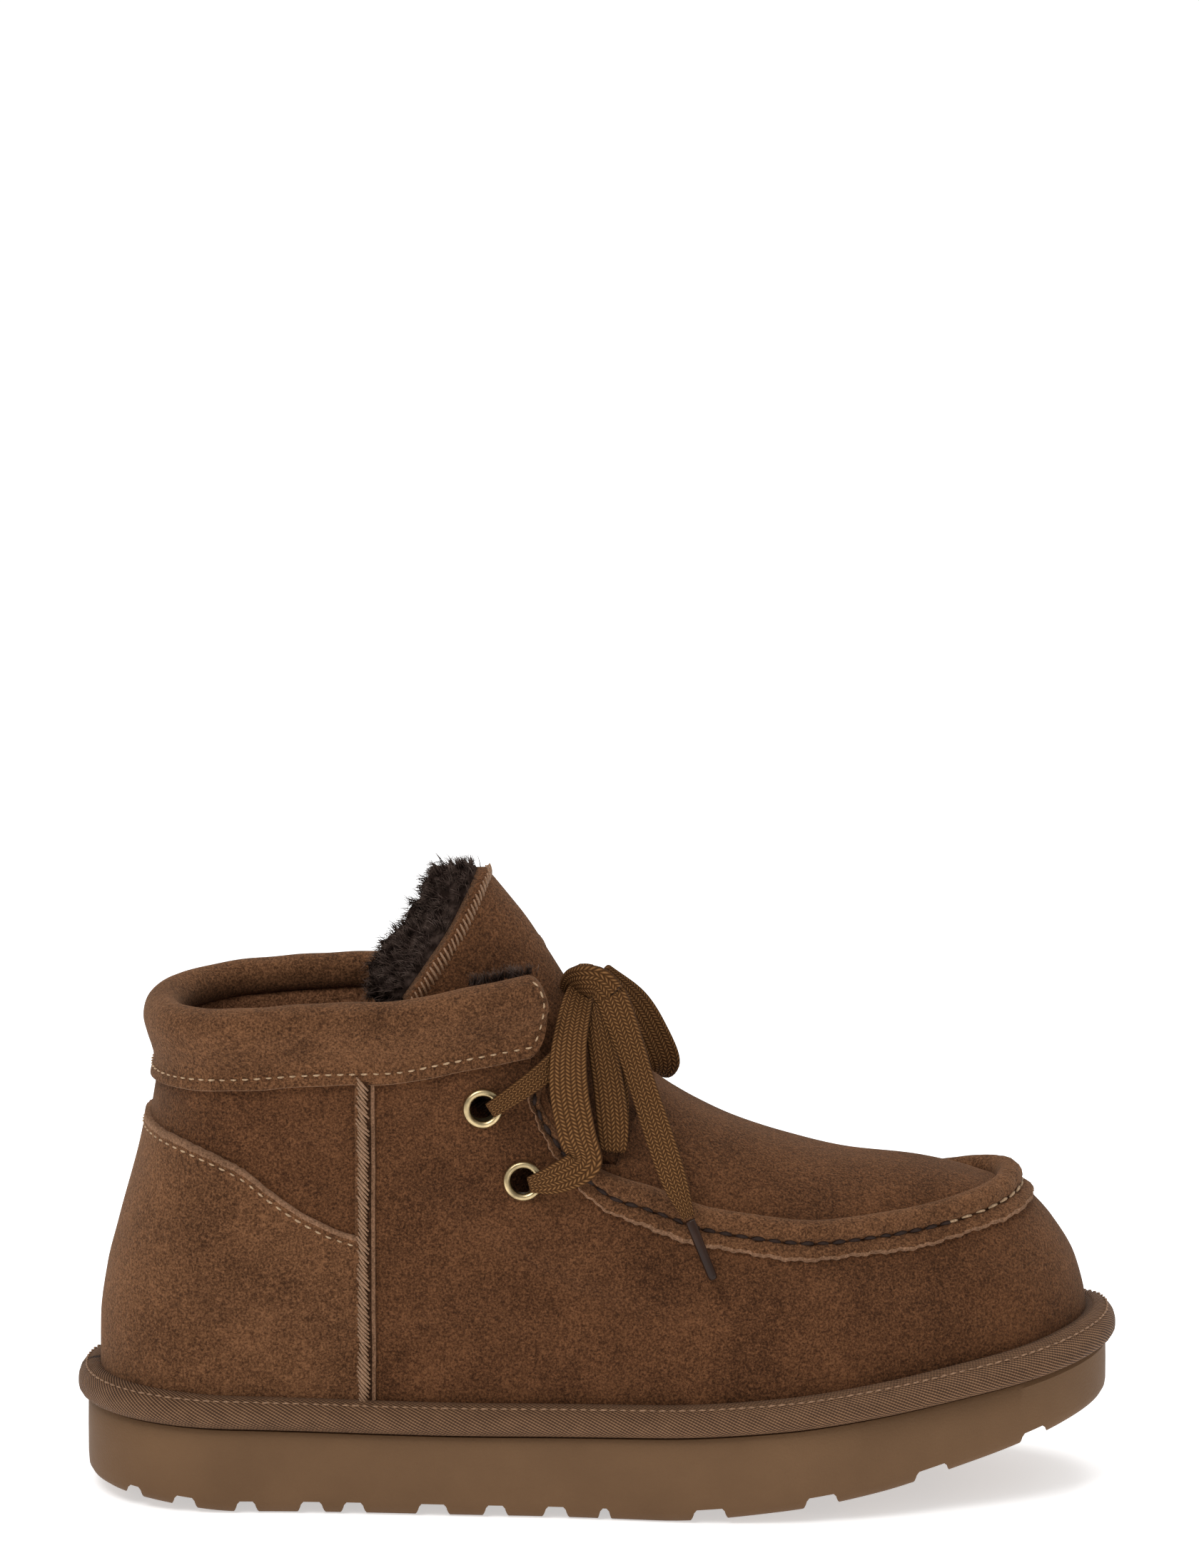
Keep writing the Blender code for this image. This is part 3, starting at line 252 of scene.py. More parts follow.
# %% The wall
LEAN_STEPS, LEAN_TOP = 120, 1.2  # cells of the grid each way, and its top as a share of the collar's
lean_places = np.linspace(0, 1, LEAN_STEPS + 1)
lean_heights = np.linspace(0, LEAN_TOP, LEAN_STEPS + 1)
lean_columns = [column(SIDE_LINES, k)(lean_places) for k in range(1, 6)]
LEAN_TABLE = np.array([monotone(SIDE_HEIGHTS, lean, lean_heights) for lean in zip(*lean_columns)])


def x_at(along):
    return (along - ORIGIN_ALONG) * SOLE_LENGTH


def middle(along):
    return shift_at(along) * BALL_WIDTH


def rounding(along):
    share = np.ones_like(along)
    for distance, reach in ((along, HEEL_ROUND), (1 - along, TOE_ROUND)):
        near = np.clip(1 - distance / reach, 0, 1)
        share = share * np.clip(1 - near**ROUND_POWER, 0, 1) ** (1 / ROUND_POWER)
    return share


def sole_top(along):
    return HEEL_TOP + TOE_LIFT * top_at(along)


def sole_tread(along):
    return TREAD_LIFT * tread_at(along) + HEEL_ROLL * roll_at(along)


def side_lean(along, z):
    """How far the wall leans in, read from a grid so that whole pieces can be shaped at once."""
    a = np.clip(along, 0, 1) * LEAN_STEPS
    h = np.clip(z / COLLAR_TOP, 0, LEAN_TOP) * (LEAN_STEPS / LEAN_TOP)
    i, j = (np.minimum(cell.astype(int), LEAN_STEPS - 1) for cell in (a, h))
    u, v = a - i, h - j
    low = LEAN_TABLE[i, j] * (1 - v) + LEAN_TABLE[i, j + 1] * v
    high = LEAN_TABLE[i + 1, j] * (1 - v) + LEAN_TABLE[i + 1, j + 1] * v
    return SIDE_LEAN * (low * (1 - u) + high * u)


def ends_at(z):
    share = z / COLLAR_TOP
    back_end = EDGE_INSET + HEEL_LEAN * heel_lean_at(share)
    front_end = EDGE_INSET + TOE_LEAN * toe_lean_at(share)
    return back_end / SOLE_LENGTH, 1 - front_end / SOLE_LENGTH


def turn_of(along, inner=False):
    """The place round the wall: 0 at the heel, 1 at the toe, and 2 at the heel again."""
    turn = np.arccos(np.clip(1 - 2 * np.asarray(along, float), -1, 1)) / math.pi
    return 2 - turn if inner else turn


def wall_base(turn, z):
    along = (1 - np.cos(math.pi * turn)) / 2
    side = np.where(np.sin(math.pi * turn) >= 0, -1.0, 1.0)
    low, high = ends_at(z)
    inset = EDGE_INSET + side_lean(along, z)
    y = middle(along) + side * (half_width_at(along) / 2 - inset) * rounding(along)
    return np.stack([x_at(low + along * (high - low)), y, z + 0 * y], axis=-1)


def unit(v):
    return v / np.maximum(np.linalg.norm(v, axis=-1, keepdims=True), 1e-12)

# %% [markdown]
# Suede takes shallow folds where it was pulled over the last and where the foot bends it. Each fold is
# a soft valley with a low bank on either side. They are listed one by one, and shifted on the unseen side.

# %% Soft folds
FOLD_SHIFT = 0.03  # how far along the unseen side's folds are moved
CREASES = (  # along, height, half length, half width, slope in degrees, depth
    (0.330, 0.760, 0.030, 0.0060, 12, 0.0011),
    (0.345, 0.700, 0.022, 0.0050, 4, 0.0008),
    (0.210, 0.700, 0.026, 0.0065, -10, 0.0009),
    (0.080, 0.640, 0.020, 0.0070, 8, 0.0008),
    (0.400, 0.520, 0.034, 0.0080, -32, 0.0012),
    (0.470, 0.440, 0.030, 0.0075, -24, 0.0011),
    (0.560, 0.400, 0.028, 0.0070, -12, 0.0009),
    (0.660, 0.380, 0.024, 0.0060, 6, 0.0008),
    (0.760, 0.420, 0.020, 0.0060, 14, 0.0008),
    (0.300, 0.330, 0.040, 0.0090, 6, 0.0010),
    (0.150, 0.360, 0.030, 0.0090, -8, 0.0010),
    (0.880, 0.400, 0.018, 0.0070, -20, 0.0007),
)


def soft_folds(turn, z):
    """Shallow folds that wear has pressed into the suede."""
    along = (1 - np.cos(math.pi * turn)) / 2
    shift = np.where(turn > 1, FOLD_SHIFT, 0.0)
    found = np.zeros_like(along + z)
    for place, height, length, width, slope, depth in CREASES:
        a = math.radians(slope)
        u = (along - place - shift) * SOLE_LENGTH
        v = z - height * COLLAR_TOP
        p, q = u * math.cos(a) + v * math.sin(a), v * math.cos(a) - u * math.sin(a)
        found -= depth * (1 - 1.1 * (q / width) ** 2) * np.exp(-((p / length) ** 2) - (q / width) ** 2)
    return found


def wall_normal(turn, z):
    forward = wall_base(turn + 0.002, z) - wall_base(turn - 0.002, z)
    upward = wall_base(turn, z + 0.0004) - wall_base(turn, z - 0.0004)
    return unit(np.cross(forward, upward))


def wall(turn, z, out=0.0):
    """Points over the upper's wall, moved out by some distance."""
    turn, z = np.broadcast_arrays(np.asarray(turn, float), np.asarray(z, float))
    out = np.asarray(out, float) + soft_folds(turn, z)
    return wall_base(turn, z) + wall_normal(turn, z) * out[..., None]


def body_along(place, z):
    low, high = ends_at(z)
    return np.clip((place - low) / (high - low), 0, 1)


print("heel", wall(0.0, 0.1).round(4), "toe", wall(1.0, 0.06).round(4))

# %% [markdown]
# ## Helpers for making pieces
# Most pieces are grids of points: rows along a path and columns round a section. One helper turns
# such a grid into a mesh with its own UV map, where U runs round the section and V along it in
# metres, so that cloth and thread patterns can follow the piece.

# %% Mesh helpers
def new_object(name, points, faces, uvs=None, smooth=True):
    mesh = bpy.data.meshes.new(name)
    mesh.from_pydata(np.asarray(points).reshape(-1, 3).tolist(), [], faces)
    if uvs is not None:
        layer = mesh.uv_layers.new(name="pattern")
        uvs = np.asarray(uvs).reshape(-1, 2)
        order = np.empty(len(mesh.loops), np.int32)
        mesh.loops.foreach_get("vertex_index", order)
        layer.data.foreach_set("uv", uvs[order].astype(np.float32).ravel())
    if smooth:
        mesh.shade_smooth()
    made = bpy.data.objects.new(name, mesh)
    bpy.context.scene.collection.objects.link(made)
    return made


def outward(thing, merge=1e-6):
    """Merges doubles and points every face outwards."""
    shape = bmesh.new()
    shape.from_mesh(thing.data)
    bmesh.ops.remove_doubles(shape, verts=shape.verts, dist=merge)
    bmesh.ops.recalc_face_normals(shape, faces=shape.faces)
    shape.to_mesh(thing.data)
    shape.free()
    return thing


def grid_faces(rows, columns, loop_rows=False, loop_columns=False):
    faces = []
    for i in range(rows if loop_rows else rows - 1):
        for j in range(columns if loop_columns else columns - 1):
            a, b = i * columns + j, i * columns + (j + 1) % columns
            c = ((i + 1) % rows) * columns
            faces.append((a, b, c + (j + 1) % columns, c + j))
    return faces


def run_lengths(points):
    """How far along each row of a grid lies, in metres."""
    centres = np.asarray(points).mean(axis=1)
    steps = np.linalg.norm(np.diff(centres, axis=0), axis=1)
    return np.concatenate([[0], np.cumsum(steps)])


def tube(name, rings, loop=False):
    """A closed piece through rings of points, with U round the ring and V along it."""
    rings = np.asarray(rings)
    rows, count = rings.shape[:2]
    faces = grid_faces(rows, count, loop_rows=loop, loop_columns=True)
    if not loop:
        faces += [tuple(range(count)), tuple((rows - 1) * count + k for k in range(count))]
    around = np.concatenate([np.zeros((rows, 1)), np.cumsum(
        np.linalg.norm(np.diff(rings, axis=1), axis=2), axis=1)], axis=1)
    along = np.repeat(run_lengths(rings)[:, None], count, axis=1)
    return outward(new_object(name, rings, faces, np.stack([around, along], axis=-1)), merge=1e-7)


SPLINE_STEPS = 24  # between two given points


def spline(points, count):
    """A smooth run of evenly spaced points through a few given ones, with all their columns."""
    points = np.asarray(points, float)
    padded = np.vstack([2 * points[0] - points[1], points, 2 * points[-1] - points[-2]])
    found = []
    for k in range(1, len(padded) - 2):
        a, b, c, d = padded[k - 1:k + 3]
        t = np.linspace(0, 1, SPLINE_STEPS, endpoint=False)[:, None]
        square, cube = 2 * a - 5 * b + 4 * c - d, 3 * b - a - 3 * c + d
        found.append(0.5 * (2 * b + (c - a) * t + square * t**2 + cube * t**3))
    found = np.vstack([*found, points[-1:]])
    steps = np.linalg.norm(np.diff(found[:, :3], axis=0), axis=1)
    run = np.concatenate([[0], np.cumsum(steps)])
    at = np.linspace(0, run[-1], count)
    return np.stack([np.interp(at, run, found[:, k]) for k in range(found.shape[1])], axis=1)

# %% [markdown]
# ## The lace
# The lace is one flat woven tape. It comes out of each lower eyelet, folds and runs up to the bow, and
# a bar joins the two upper eyelets across the tongue. The bow is a knot with two loops and two ends.
# Each visible run is swept as a soft flat section along a smooth path.

# %% Lace runs
LACE_NEAR = (
    (0.4340, -0.402, 0.538, 0.50, -0.1, 0.0, 1.0),
    (0.4600, -0.409, 0.549, 0.95, -0.3, 0.0, 1.0),
    (0.4870, -0.408, 0.576, 1.12, -0.7, 0.0, 0.7),
    (0.4800, -0.425, 0.625, 1.18, -1.0, 0.15, 0.1),
    (0.4725, -0.385, 0.690, 1.20, -1.0, 0.2, 0.0),
    (0.4730, -0.300, 0.750, 1.10, -1.0, 0.2, 0.0),
    (0.4810, -0.180, 0.805, 0.92, -1.0, 0.1, 0.1),
    (0.4890, -0.085, 0.830, 0.60, -1.0, 0.2, 0.1),
)
LACE_BAR = (
    (0.3960, -0.388, 0.655, 0.50, -0.3, 0.0, 1.0),
    (0.4350, -0.362, 0.696, 0.65, -0.5, 0.0, 0.9),
    (0.4590, -0.305, 0.722, 0.70, -0.5, 0.0, 0.9),
    (0.4850, -0.150, 0.748, 0.70, -0.5, 0.0, 0.9),
    (0.5075, -0.020, 0.757, 0.60, -0.5, 0.0, 0.9),
)
LOOP_NEAR = (
    (0.4900, -0.0975, 0.824, 0.50, -1.0, 0.2, 0.0),
    (0.4990, -0.2150, 0.775, 0.75, -1.0, 0.0, 0.1),
    (0.5100, -0.2850, 0.690, 0.95, -1.0, -0.1, 0.1),
    (0.5150, -0.3350, 0.625, 0.98, -1.0, -0.1, 0.1),
    (0.5160, -0.3320, 0.586, 0.78, -1.0, 0.0, 0.1),
    (0.5160, -0.3000, 0.612, 0.90, -1.0, 0.0, 0.1),
    (0.5160, -0.2450, 0.665, 0.90, -1.0, 0.0, 0.1),
    (0.5110, -0.1650, 0.742, 0.70, -1.0, 0.0, 0.1),
    (0.5030, -0.0975, 0.803, 0.50, -1.0, 0.2, 0.0),
)
LOOP_FAR = (
    (0.5070, 0.0480, 0.822, 0.55, 0.5, 0.5, 0.5),
    (0.5360, 0.130, 0.762, 0.95, 0.75, 0.3, 0.6),
    (0.5560, 0.180, 0.700, 1.00, 0.85, 0.3, 0.45),
    (0.5660, 0.215, 0.650, 1.00, 0.95, 0.3, 0.2),
    (0.5560, 0.250, 0.628, 0.90, 1.0, 0.3, 0.0),
    (0.5450, 0.260, 0.660, 0.95, 0.95, 0.3, 0.2),
    (0.5280, 0.215, 0.728, 0.90, 0.75, 0.3, 0.6),
    (0.4960, 0.0480, 0.798, 0.55, 0.5, 0.5, 0.5),
)
KNOT_WRAP = (
    (0.4700, -0.050, 0.795, 0.55, 0.8, 0.1, -0.6),
    (0.4760, -0.130, 0.826, 0.85, 0.5, 0.1, -0.85),
    (0.4870, -0.190, 0.838, 1.00, 0.2, 0.1, -1.0),
    (0.5010, -0.215, 0.838, 1.02, -0.2, 0.1, -1.0),
    (0.5130, -0.235, 0.820, 1.02, -0.7, 0.1, -0.8),
)
END_NEAR = (
    (0.5130, -0.235, 0.820, 1.02, -0.7, 0.1, -0.8),
    (0.5200, -0.250, 0.793, 1.00, -0.95, 0.1, -0.45),
    (0.5320, -0.278, 0.741, 0.90, -1.0, 0.1, -0.3),
    (0.5440, -0.315, 0.683, 0.85, -1.0, 0.1, -0.2),
    (0.5590, -0.362, 0.614, 0.88, -1.0, 0.1, -0.2),
    (0.5740, -0.408, 0.546, 0.80, -1.0, 0.1, -0.1),
    (0.5880, -0.438, 0.490, 0.40, -1.0, 0.1, 0.0),
)
END_FAR = (
    (0.4980, 0.000, 0.812, 0.60, 1.0, 0.1, 0.0),
    (0.5080, 0.120, 0.800, 0.85, 1.0, 0.2, 0.0),
    (0.5130, 0.270, 0.725, 1.00, 1.0, 0.1, 0.0),
    (0.517, 0.375, 0.630, 1.00, 1.0, 0.1, 0.0),
    (0.522, 0.440, 0.530, 0.85, 1.0, 0.1, 0.0),
    (0.524, 0.462, 0.490, 0.45, 1.0, 0.1, 0.0),
)
AGLETS = {
    "aglet_near": ((0.589, -0.440, 0.486), (0.614, -0.462, 0.386)),
    "aglet_far": ((0.5245, 0.465, 0.486), (0.530, 0.482, 0.384)),
}
KNOT = (0.4945, -0.025, 0.822)
# %% [markdown]
# The tape's section is flat, with shallow ribs along it. It is widest where the lace lies open, and it
# gets narrower and thicker where the lace is bunched, as at an eyelet or under the knot.

# %% Sweep the lace
LACE_RIBS = 7


def lace_rows(table):
    rows = np.array(table, float)
    rows[:, 0] = x_at(rows[:, 0])
    rows[:, 1] *= BALL_WIDTH
    rows[:, 2] *= TONGUE_TOP
    return rows


def mirrored(rows):
    """A lace run carried over to the inner side of the tongue."""
    rows = rows.copy()
    rows[:, 1] = 2 * float(middle(TONGUE_ALONG)) - rows[:, 1]
    rows[:, 5] *= -1
    return rows


def lace_section(count=44):
    """Half-width and half-thickness of a soft tape with shallow lengthwise ribs."""
    angle = np.linspace(0, 2 * math.pi, count, endpoint=False)
    across = np.cos(angle)
    flat = np.sign(np.sin(angle)) * np.abs(np.sin(angle)) ** 0.45
    ribs = 1 - 0.16 * np.cos(across * math.pi * LACE_RIBS) ** 2
    return across * 0.5, flat * 0.5 * ribs


def sweep_lace(name, rows, spacing=0.0009):
    """Sweeps the tape along a run; size narrows it where it is bunched, and it grows thicker there."""
    rough = spline(rows, 60)
    length = np.linalg.norm(np.diff(rough[:, :3], axis=0), axis=1).sum()
    stations = spline(rows, int(length / spacing))
    centres, sizes, wide = stations[:, :3], stations[:, 3:4], stations[:, 4:7]
    tangent = unit(np.gradient(centres, axis=0))
    wide = unit(wide - tangent * (wide * tangent).sum(axis=1, keepdims=True))
    flat = np.cross(tangent, wide)
    across, thick = lace_section()
    width = LACE_WIDTH * sizes
    depth = LACE_THICKNESS * (1 + 0.35 * (1 - sizes))
    cup = (across[None, :] ** 2 - 0.12) * width * 0.18 * (1 + 1.6 * (1 - sizes))
    rings = (
        centres[:, None, :]
        + wide[:, None, :] * (across[None, :] * width)[..., None]
        + flat[:, None, :] * (thick[None, :] * depth + cup)[..., None]
    )
    made = tube(name, rings)
    layer = made.data.uv_layers["pattern"]
    flatten_uv(made, layer, len(across), len(centres), length)
    return made, centres, length


def flatten_uv(made, layer, count, rows, length):
    """U across the tape from 0 to 1, the same on both faces, and V along it in metres."""
    order = np.empty(len(made.data.loops), np.int32)
    made.data.loops.foreach_get("vertex_index", order)
    angle = 2 * math.pi * (order % count) / count
    u = 0.5 + 0.5 * np.cos(angle)
    v = (order // count) / max(rows - 1, 1) * length
    layer.data.foreach_set("uv", np.stack([u, v], axis=1).astype(np.float32).ravel())


LACE_RUNS = {"loop_near": LOOP_NEAR, "loop_far": LOOP_FAR, "end_near": END_NEAR, "end_far": END_FAR}
lace_pieces = {}
for name, table in LACE_RUNS.items():
    lace_pieces[name] = sweep_lace(name, lace_rows(table))
    print(name, round(lace_pieces[name][2] * 1000, 1), "mm")

near_run, bar_run = lace_rows(LACE_NEAR), lace_rows(LACE_BAR)
whole_bar = np.vstack([bar_run[:-1], mirrored(bar_run)[::-1]])
fixed_runs = {"strand_near": near_run, "strand_far": mirrored(near_run), "bar": whole_bar}
bars = [sweep_lace(name, run)[0] for name, run in fixed_runs.items()]

# %% [markdown]
# The knot is the lace wrapped once round itself and pulled flat. A short turn of the same tape round a
# rounded core gives that look without tying a real knot.

# %% Knot and aglets
def place_of(share):
    return np.array([x_at(share[0]), share[1] * BALL_WIDTH, share[2] * TONGUE_TOP])


def join(name, pieces):
    """Several meshes as one, with their maps."""
    shape = bmesh.new()
    for piece in pieces:
        shape.from_mesh(piece.data)
    mesh = bpy.data.meshes.new(name)
    shape.to_mesh(mesh)
    shape.free()
    for piece in pieces:
        bpy.data.objects.remove(piece)
    made = bpy.data.objects.new(name, mesh)
    bpy.context.scene.collection.objects.link(made)
    return made


def make_knot():
    """The lace laid over the knot in an arch, and the bunched turns below it."""
    centre = place_of(KNOT)
    rows = []
    for angle in np.linspace(0, 2 * math.pi, 13):
        rows.append((centre[0] + 0.0035 * math.sin(angle), centre[1] + 0.0050 * math.cos(angle) - 0.0015,
                     centre[2] - 0.0035, 0.75, 0.1, 0.1, 1.0))
    wrap = sweep_lace("wrap", lace_rows(KNOT_WRAP))[0]
    core = sweep_lace("core", np.array(rows))[0]
    return join("knot", [wrap, core])


AGLET_PROFILE = (  # shares of its length and of its radius
    (0.00, 0.30), (0.001, 0.92), (0.03, 1.0), (0.30, 1.0), (0.93, 0.94), (0.985, 0.80), (1.0, 0.35),
)


def make_aglet(name, ends):
    start, end = place_of(ends[0]), place_of(ends[1])
    axis = unit(end - start)
    first = unit(np.cross(axis, [0.0, 0.3, 1.0]))
    second = np.cross(axis, first)
    angle = np.linspace(0, 2 * math.pi, 28, endpoint=False)
    rings = []
    for share, size in AGLET_PROFILE:
        radius = AGLET_RADIUS * size * (1 + 0.05 * (np.cos(angle) > 0.97))  # the seam of the rolled tip
        spoke = first * np.cos(angle)[:, None] + second * np.sin(angle)[:, None]
        rings.append(start + axis * AGLET_LENGTH * share + spoke * radius[:, None])
    return tube(name, rings)


knot = make_knot()
aglets = {name: make_aglet(name, ends) for name, ends in AGLETS.items()}
print("knot and", len(aglets), "aglets")

# %% [markdown]
# ## The upper
# The upper is one sheet of suede: a wall round the foot and a crowned apron over the toes, given its
# thickness inwards. Its rows and columns follow the same curves as the solid, only many more of them.

# %% Upper
EDGE_PATH = (
    ("heel", 0.000, 0.912, 0.000),
    ("ankle", 0.240, 0.936, 0.270),
    ("collar_front", 0.430, 0.985, 0.430),
    ("facing", 0.453, 0.810, 0.470),
    ("facing_foot", 0.494, 0.690, 0.510),
    ("throat", 0.519, 0.684, 0.550),
    ("instep_seam", 0.580, 0.578, 0.620),
    ("ball", 0.720, 0.524, 0.735),
    ("toe_side", 0.880, 0.560, 0.880),
    ("toe", 1.000, 0.578, 1.000),
)
EDGE_COLUMNS = (26, 24, 4, 8, 5, 10, 20, 22, 34)
UPPER_ROWS = 44
APRON_COLUMNS = 64
THROAT = 5


def edge_table():
    """Top turn, top height and foot turn of each of the upper's columns on one side."""
    steps = np.arange(len(EDGE_PATH))
    heights = np.array([row[2] for row in EDGE_PATH])
    tops = np.array([body_along(row[1], row[2] * COLLAR_TOP) for row in EDGE_PATH], float)
    feet = np.array([row[3] for row in EDGE_PATH])
    at = []
    for k, count in enumerate(EDGE_COLUMNS):
        t = np.arange(count) / count
        if k == 0:
            t = 1 - np.cos(t * math.pi / 2)
        if k == len(EDGE_COLUMNS) - 1:
            t = np.sin(t * math.pi / 2)
        at.append(k + t)
    at = np.concatenate([*at, [len(EDGE_PATH) - 1]])
    top, height, foot = (monotone(steps, values, at) for values in (tops, heights, feet))
    return top, height * COLLAR_TOP, foot


def upper_points():
    top, high, foot = edge_table()
    last = len(top) - 1
    v = np.linspace(0, 1, UPPER_ROWS + 1)
    low = sole_top(foot)
    z = low[:, None] + (high - low)[:, None] * v
    along = foot[:, None] + (top - foot)[:, None] * v
    outer = wall(turn_of(along), z)
    inner = wall(turn_of(along, inner=True), z)
    loop = np.concatenate([outer, inner[-2:0:-1]])
    faces = grid_faces(len(loop), UPPER_ROWS + 1, loop_rows=True)
    points = [loop.reshape(-1, 3)]
    count = len(points[0])

    def rim(place):
        return place * (UPPER_ROWS + 1) + UPPER_ROWS

    first = sum(EDGE_COLUMNS[:THROAT])
    before = None
    toe = EDGE_PATH[-1][2] * COLLAR_TOP
    across = np.cos(np.linspace(0, math.pi, APRON_COLUMNS + 1)[1:-1])
    for k in range(first, last):
        start, end = outer[k, -1], inner[k, -1]
        fade = max(0.0, 1 - (k - first) / (EDGE_COLUMNS[THROAT] * 2.6))
        row = start + (end - start) * (0.5 - across / 2)[:, None]
        row[:, 0] += THROAT_BOW * fade * (1 - across**2)
        crest = toe + (INSTEP_HEIGHT - toe) * apron_rise_at(ORIGIN_ALONG + row[:, 0] / SOLE_LENGTH)
        row[:, 2] += np.maximum(crest - row[:, 2], 0) * (1 - np.abs(across) ** APRON_POWER)
        here = [rim(k), *range(count, count + len(row)), rim(2 * last - k)]
        points.append(row)
        count += len(row)
        if before:
            faces += [(before[m], before[m + 1], here[m + 1], here[m]) for m in range(APRON_COLUMNS)]
        before = here
    faces += [(before[m], before[m + 1], rim(last)) for m in range(APRON_COLUMNS)]
    return np.vstack(points), faces

# %% [markdown]
# Cut suede is as thick at an edge as anywhere else. The sheet gets that thickness inwards, so the face
# that shows stays where the curves put it. The same cell keeps the tool that cuts holes and grooves.

# %% Give the sheet its thickness
def solidify(thing, thickness):
    modifier = thing.modifiers.new("thickness", "SOLIDIFY")
    modifier.thickness, modifier.offset = thickness, -1
    modifier.use_even_offset = False
    return thing


def apply_modifiers(thing):
    graph = bpy.context.evaluated_depsgraph_get()
    mesh = bpy.data.meshes.new_from_object(thing.evaluated_get(graph))
    thing.modifiers.clear()
    thing.data = mesh
    return thing


def carve(thing, cutter):
    """Cuts one closed mesh out of another and drops the cutter."""
    modifier = thing.modifiers.new("cut", "BOOLEAN")
    modifier.operation, modifier.object, modifier.solver = "DIFFERENCE", cutter, "EXACT"
    apply_modifiers(thing)
    bpy.data.objects.remove(cutter)


upper = outward(new_object("upper_suede", *upper_points()))
apply_modifiers(solidify(upper, WALL))
print("upper", len(upper.data.polygons), "faces")

# %% [markdown]
# ## The collar
# The collar is a strip of suede folded over a soft roll and stitched down along its lower edge. A
# section swept round the opening gives the roll, the valley above the stitches and the raw edge.

# %% Collar
COLLAR_FRONT = 0.451
COLLAR_COLUMNS = 60
COLLAR_CORNER = 0.022
COLLAR_OUT = (  # out from the wall and down from the crest
    (-0.0010, 1.00), (SKIRT * 0.9, 1.00), (SKIRT * 1.05, 0.965), (SKIRT * 0.9, 0.86), (SKIRT * 0.92, 0.74),
    (SKIRT + 0.18 * COLLAR_ROLL, 0.62), (SKIRT * 0.6 + 0.70 * COLLAR_ROLL, 0.45),
    (SKIRT * 0.5 + 1.00 * COLLAR_ROLL, 0.28), (SKIRT * 0.45 + 0.88 * COLLAR_ROLL, 0.12),
    (0.52 * COLLAR_ROLL, 0.025), (-0.15 * COLLAR_INNER, 0.00), (-0.66 * COLLAR_INNER, 0.045),
    (-1.00 * COLLAR_INNER, 0.16), (-1.00 * COLLAR_INNER, 0.30), (-0.74 * COLLAR_INNER, 0.40), (-0.002, 0.43),
)


def collar_turn(place, z):
    return turn_of(place * body_along(COLLAR_FRONT, z) / COLLAR_FRONT)


def make_collar():
    section = spline([(o, d * COLLAR_HEIGHT, 0.0) for o, d in COLLAR_OUT], COLLAR_COLUMNS)[:, :2]
    section[:, 1] /= COLLAR_HEIGHT
    start = COLLAR_FRONT - COLLAR_CORNER
    places = np.concatenate([
        start * (1 - np.cos(np.linspace(0, math.pi / 2, 90))),
        start + COLLAR_CORNER * np.sin(np.linspace(0, math.pi / 2, 16)[1:-1]),
        [COLLAR_FRONT - 0.0001],
    ])
    rings = []
    for inner, order in ((False, places[::-1]), (True, places[1:])):
        for place in order:
            near = max(0.0, (place - start) / COLLAR_CORNER)
            size = math.sqrt(max(0.0, 1 - near**2))
            wave = 0.0004 * math.sin(place * 63) * math.sin(place * 31 + 1)
            crest = COLLAR_TOP + float(crown_at(place)) + wave * 0.5
            out = 0.0003 + (section[:, 0] - 0.0003) * (0.45 + 0.55 * size)
            out += wave * (section[:, 0] > 0.003)
            z = crest - (0.45 + (section[:, 1] - 0.45) * size) * COLLAR_HEIGHT
            turn = collar_turn(place, z)
            rings.append(wall(2 - turn if inner else turn, z, out))
    return tube("collar_suede", rings)


collar = make_collar()
print("collar", len(collar.data.polygons), "faces")

# %% [markdown]
# ## The rolled seam of the apron
# On a moccasin the wall's edge and the apron's edge meet in a rolled ridge, with a raw flange stitched
# flat below it. The section is swept along the seam's line on the wall. The stitches pull the ridge in,
# so its lower edge is pinched once per stitch, and the flange's raw edge wanders a little.

# %% Rolled seam
SEAM_PATH = (
    (0.4420, 0.845, 0.00),
    (0.4380, 0.815, 0.00),
    (0.4440, 0.780, 0.00),
    (0.4600, 0.727, 0.15),
    (0.4860, 0.664, 0.50),
    (0.5150, 0.622, 0.90),
    (0.5480, 0.598, 1.00),
    (0.6030, 0.556, 1.00),
    (0.6520, 0.538, 1.00),
    (0.7200, 0.524, 1.00),
    (0.7990, 0.532, 1.00),
    (0.8800, 0.560, 1.00),
    (1.0000, 0.578, 1.00),
)
SEAM_PITCH = 0.0074


def seam_stations(spacing=0.0007):
    """Even stations along the seam from the outer facing round the toe to the inner one."""
    steps = np.arange(len(SEAM_PATH))
    at = np.concatenate([np.linspace(0, len(steps) - 2, 400)[:-1],
                         len(steps) - 2 + np.sin(np.linspace(0, math.pi / 2, 120))])
    heights = monotone(steps, [r[1] for r in SEAM_PATH], at) * COLLAR_TOP
    tops = monotone(steps, [float(body_along(r[0], r[1] * COLLAR_TOP)) for r in SEAM_PATH], at)
    rolls = monotone(steps, [r[2] for r in SEAM_PATH], at)
    turns = turn_of(tops)
    rows = np.stack([turns, heights, rolls], axis=1)
    other = rows[-2::-1].copy()
    other[:, 0] = 2 - other[:, 0]
    rows = np.vstack([rows, other])
    points = wall(rows[:, 0], rows[:, 1])
    run = np.concatenate([[0], np.cumsum(np.linalg.norm(np.diff(points, axis=0), axis=1))])
    even = np.linspace(0, run[-1], int(run[-1] / spacing))
    return np.stack([np.interp(even, run, rows[:, k]) for k in range(3)] + [even], axis=1)


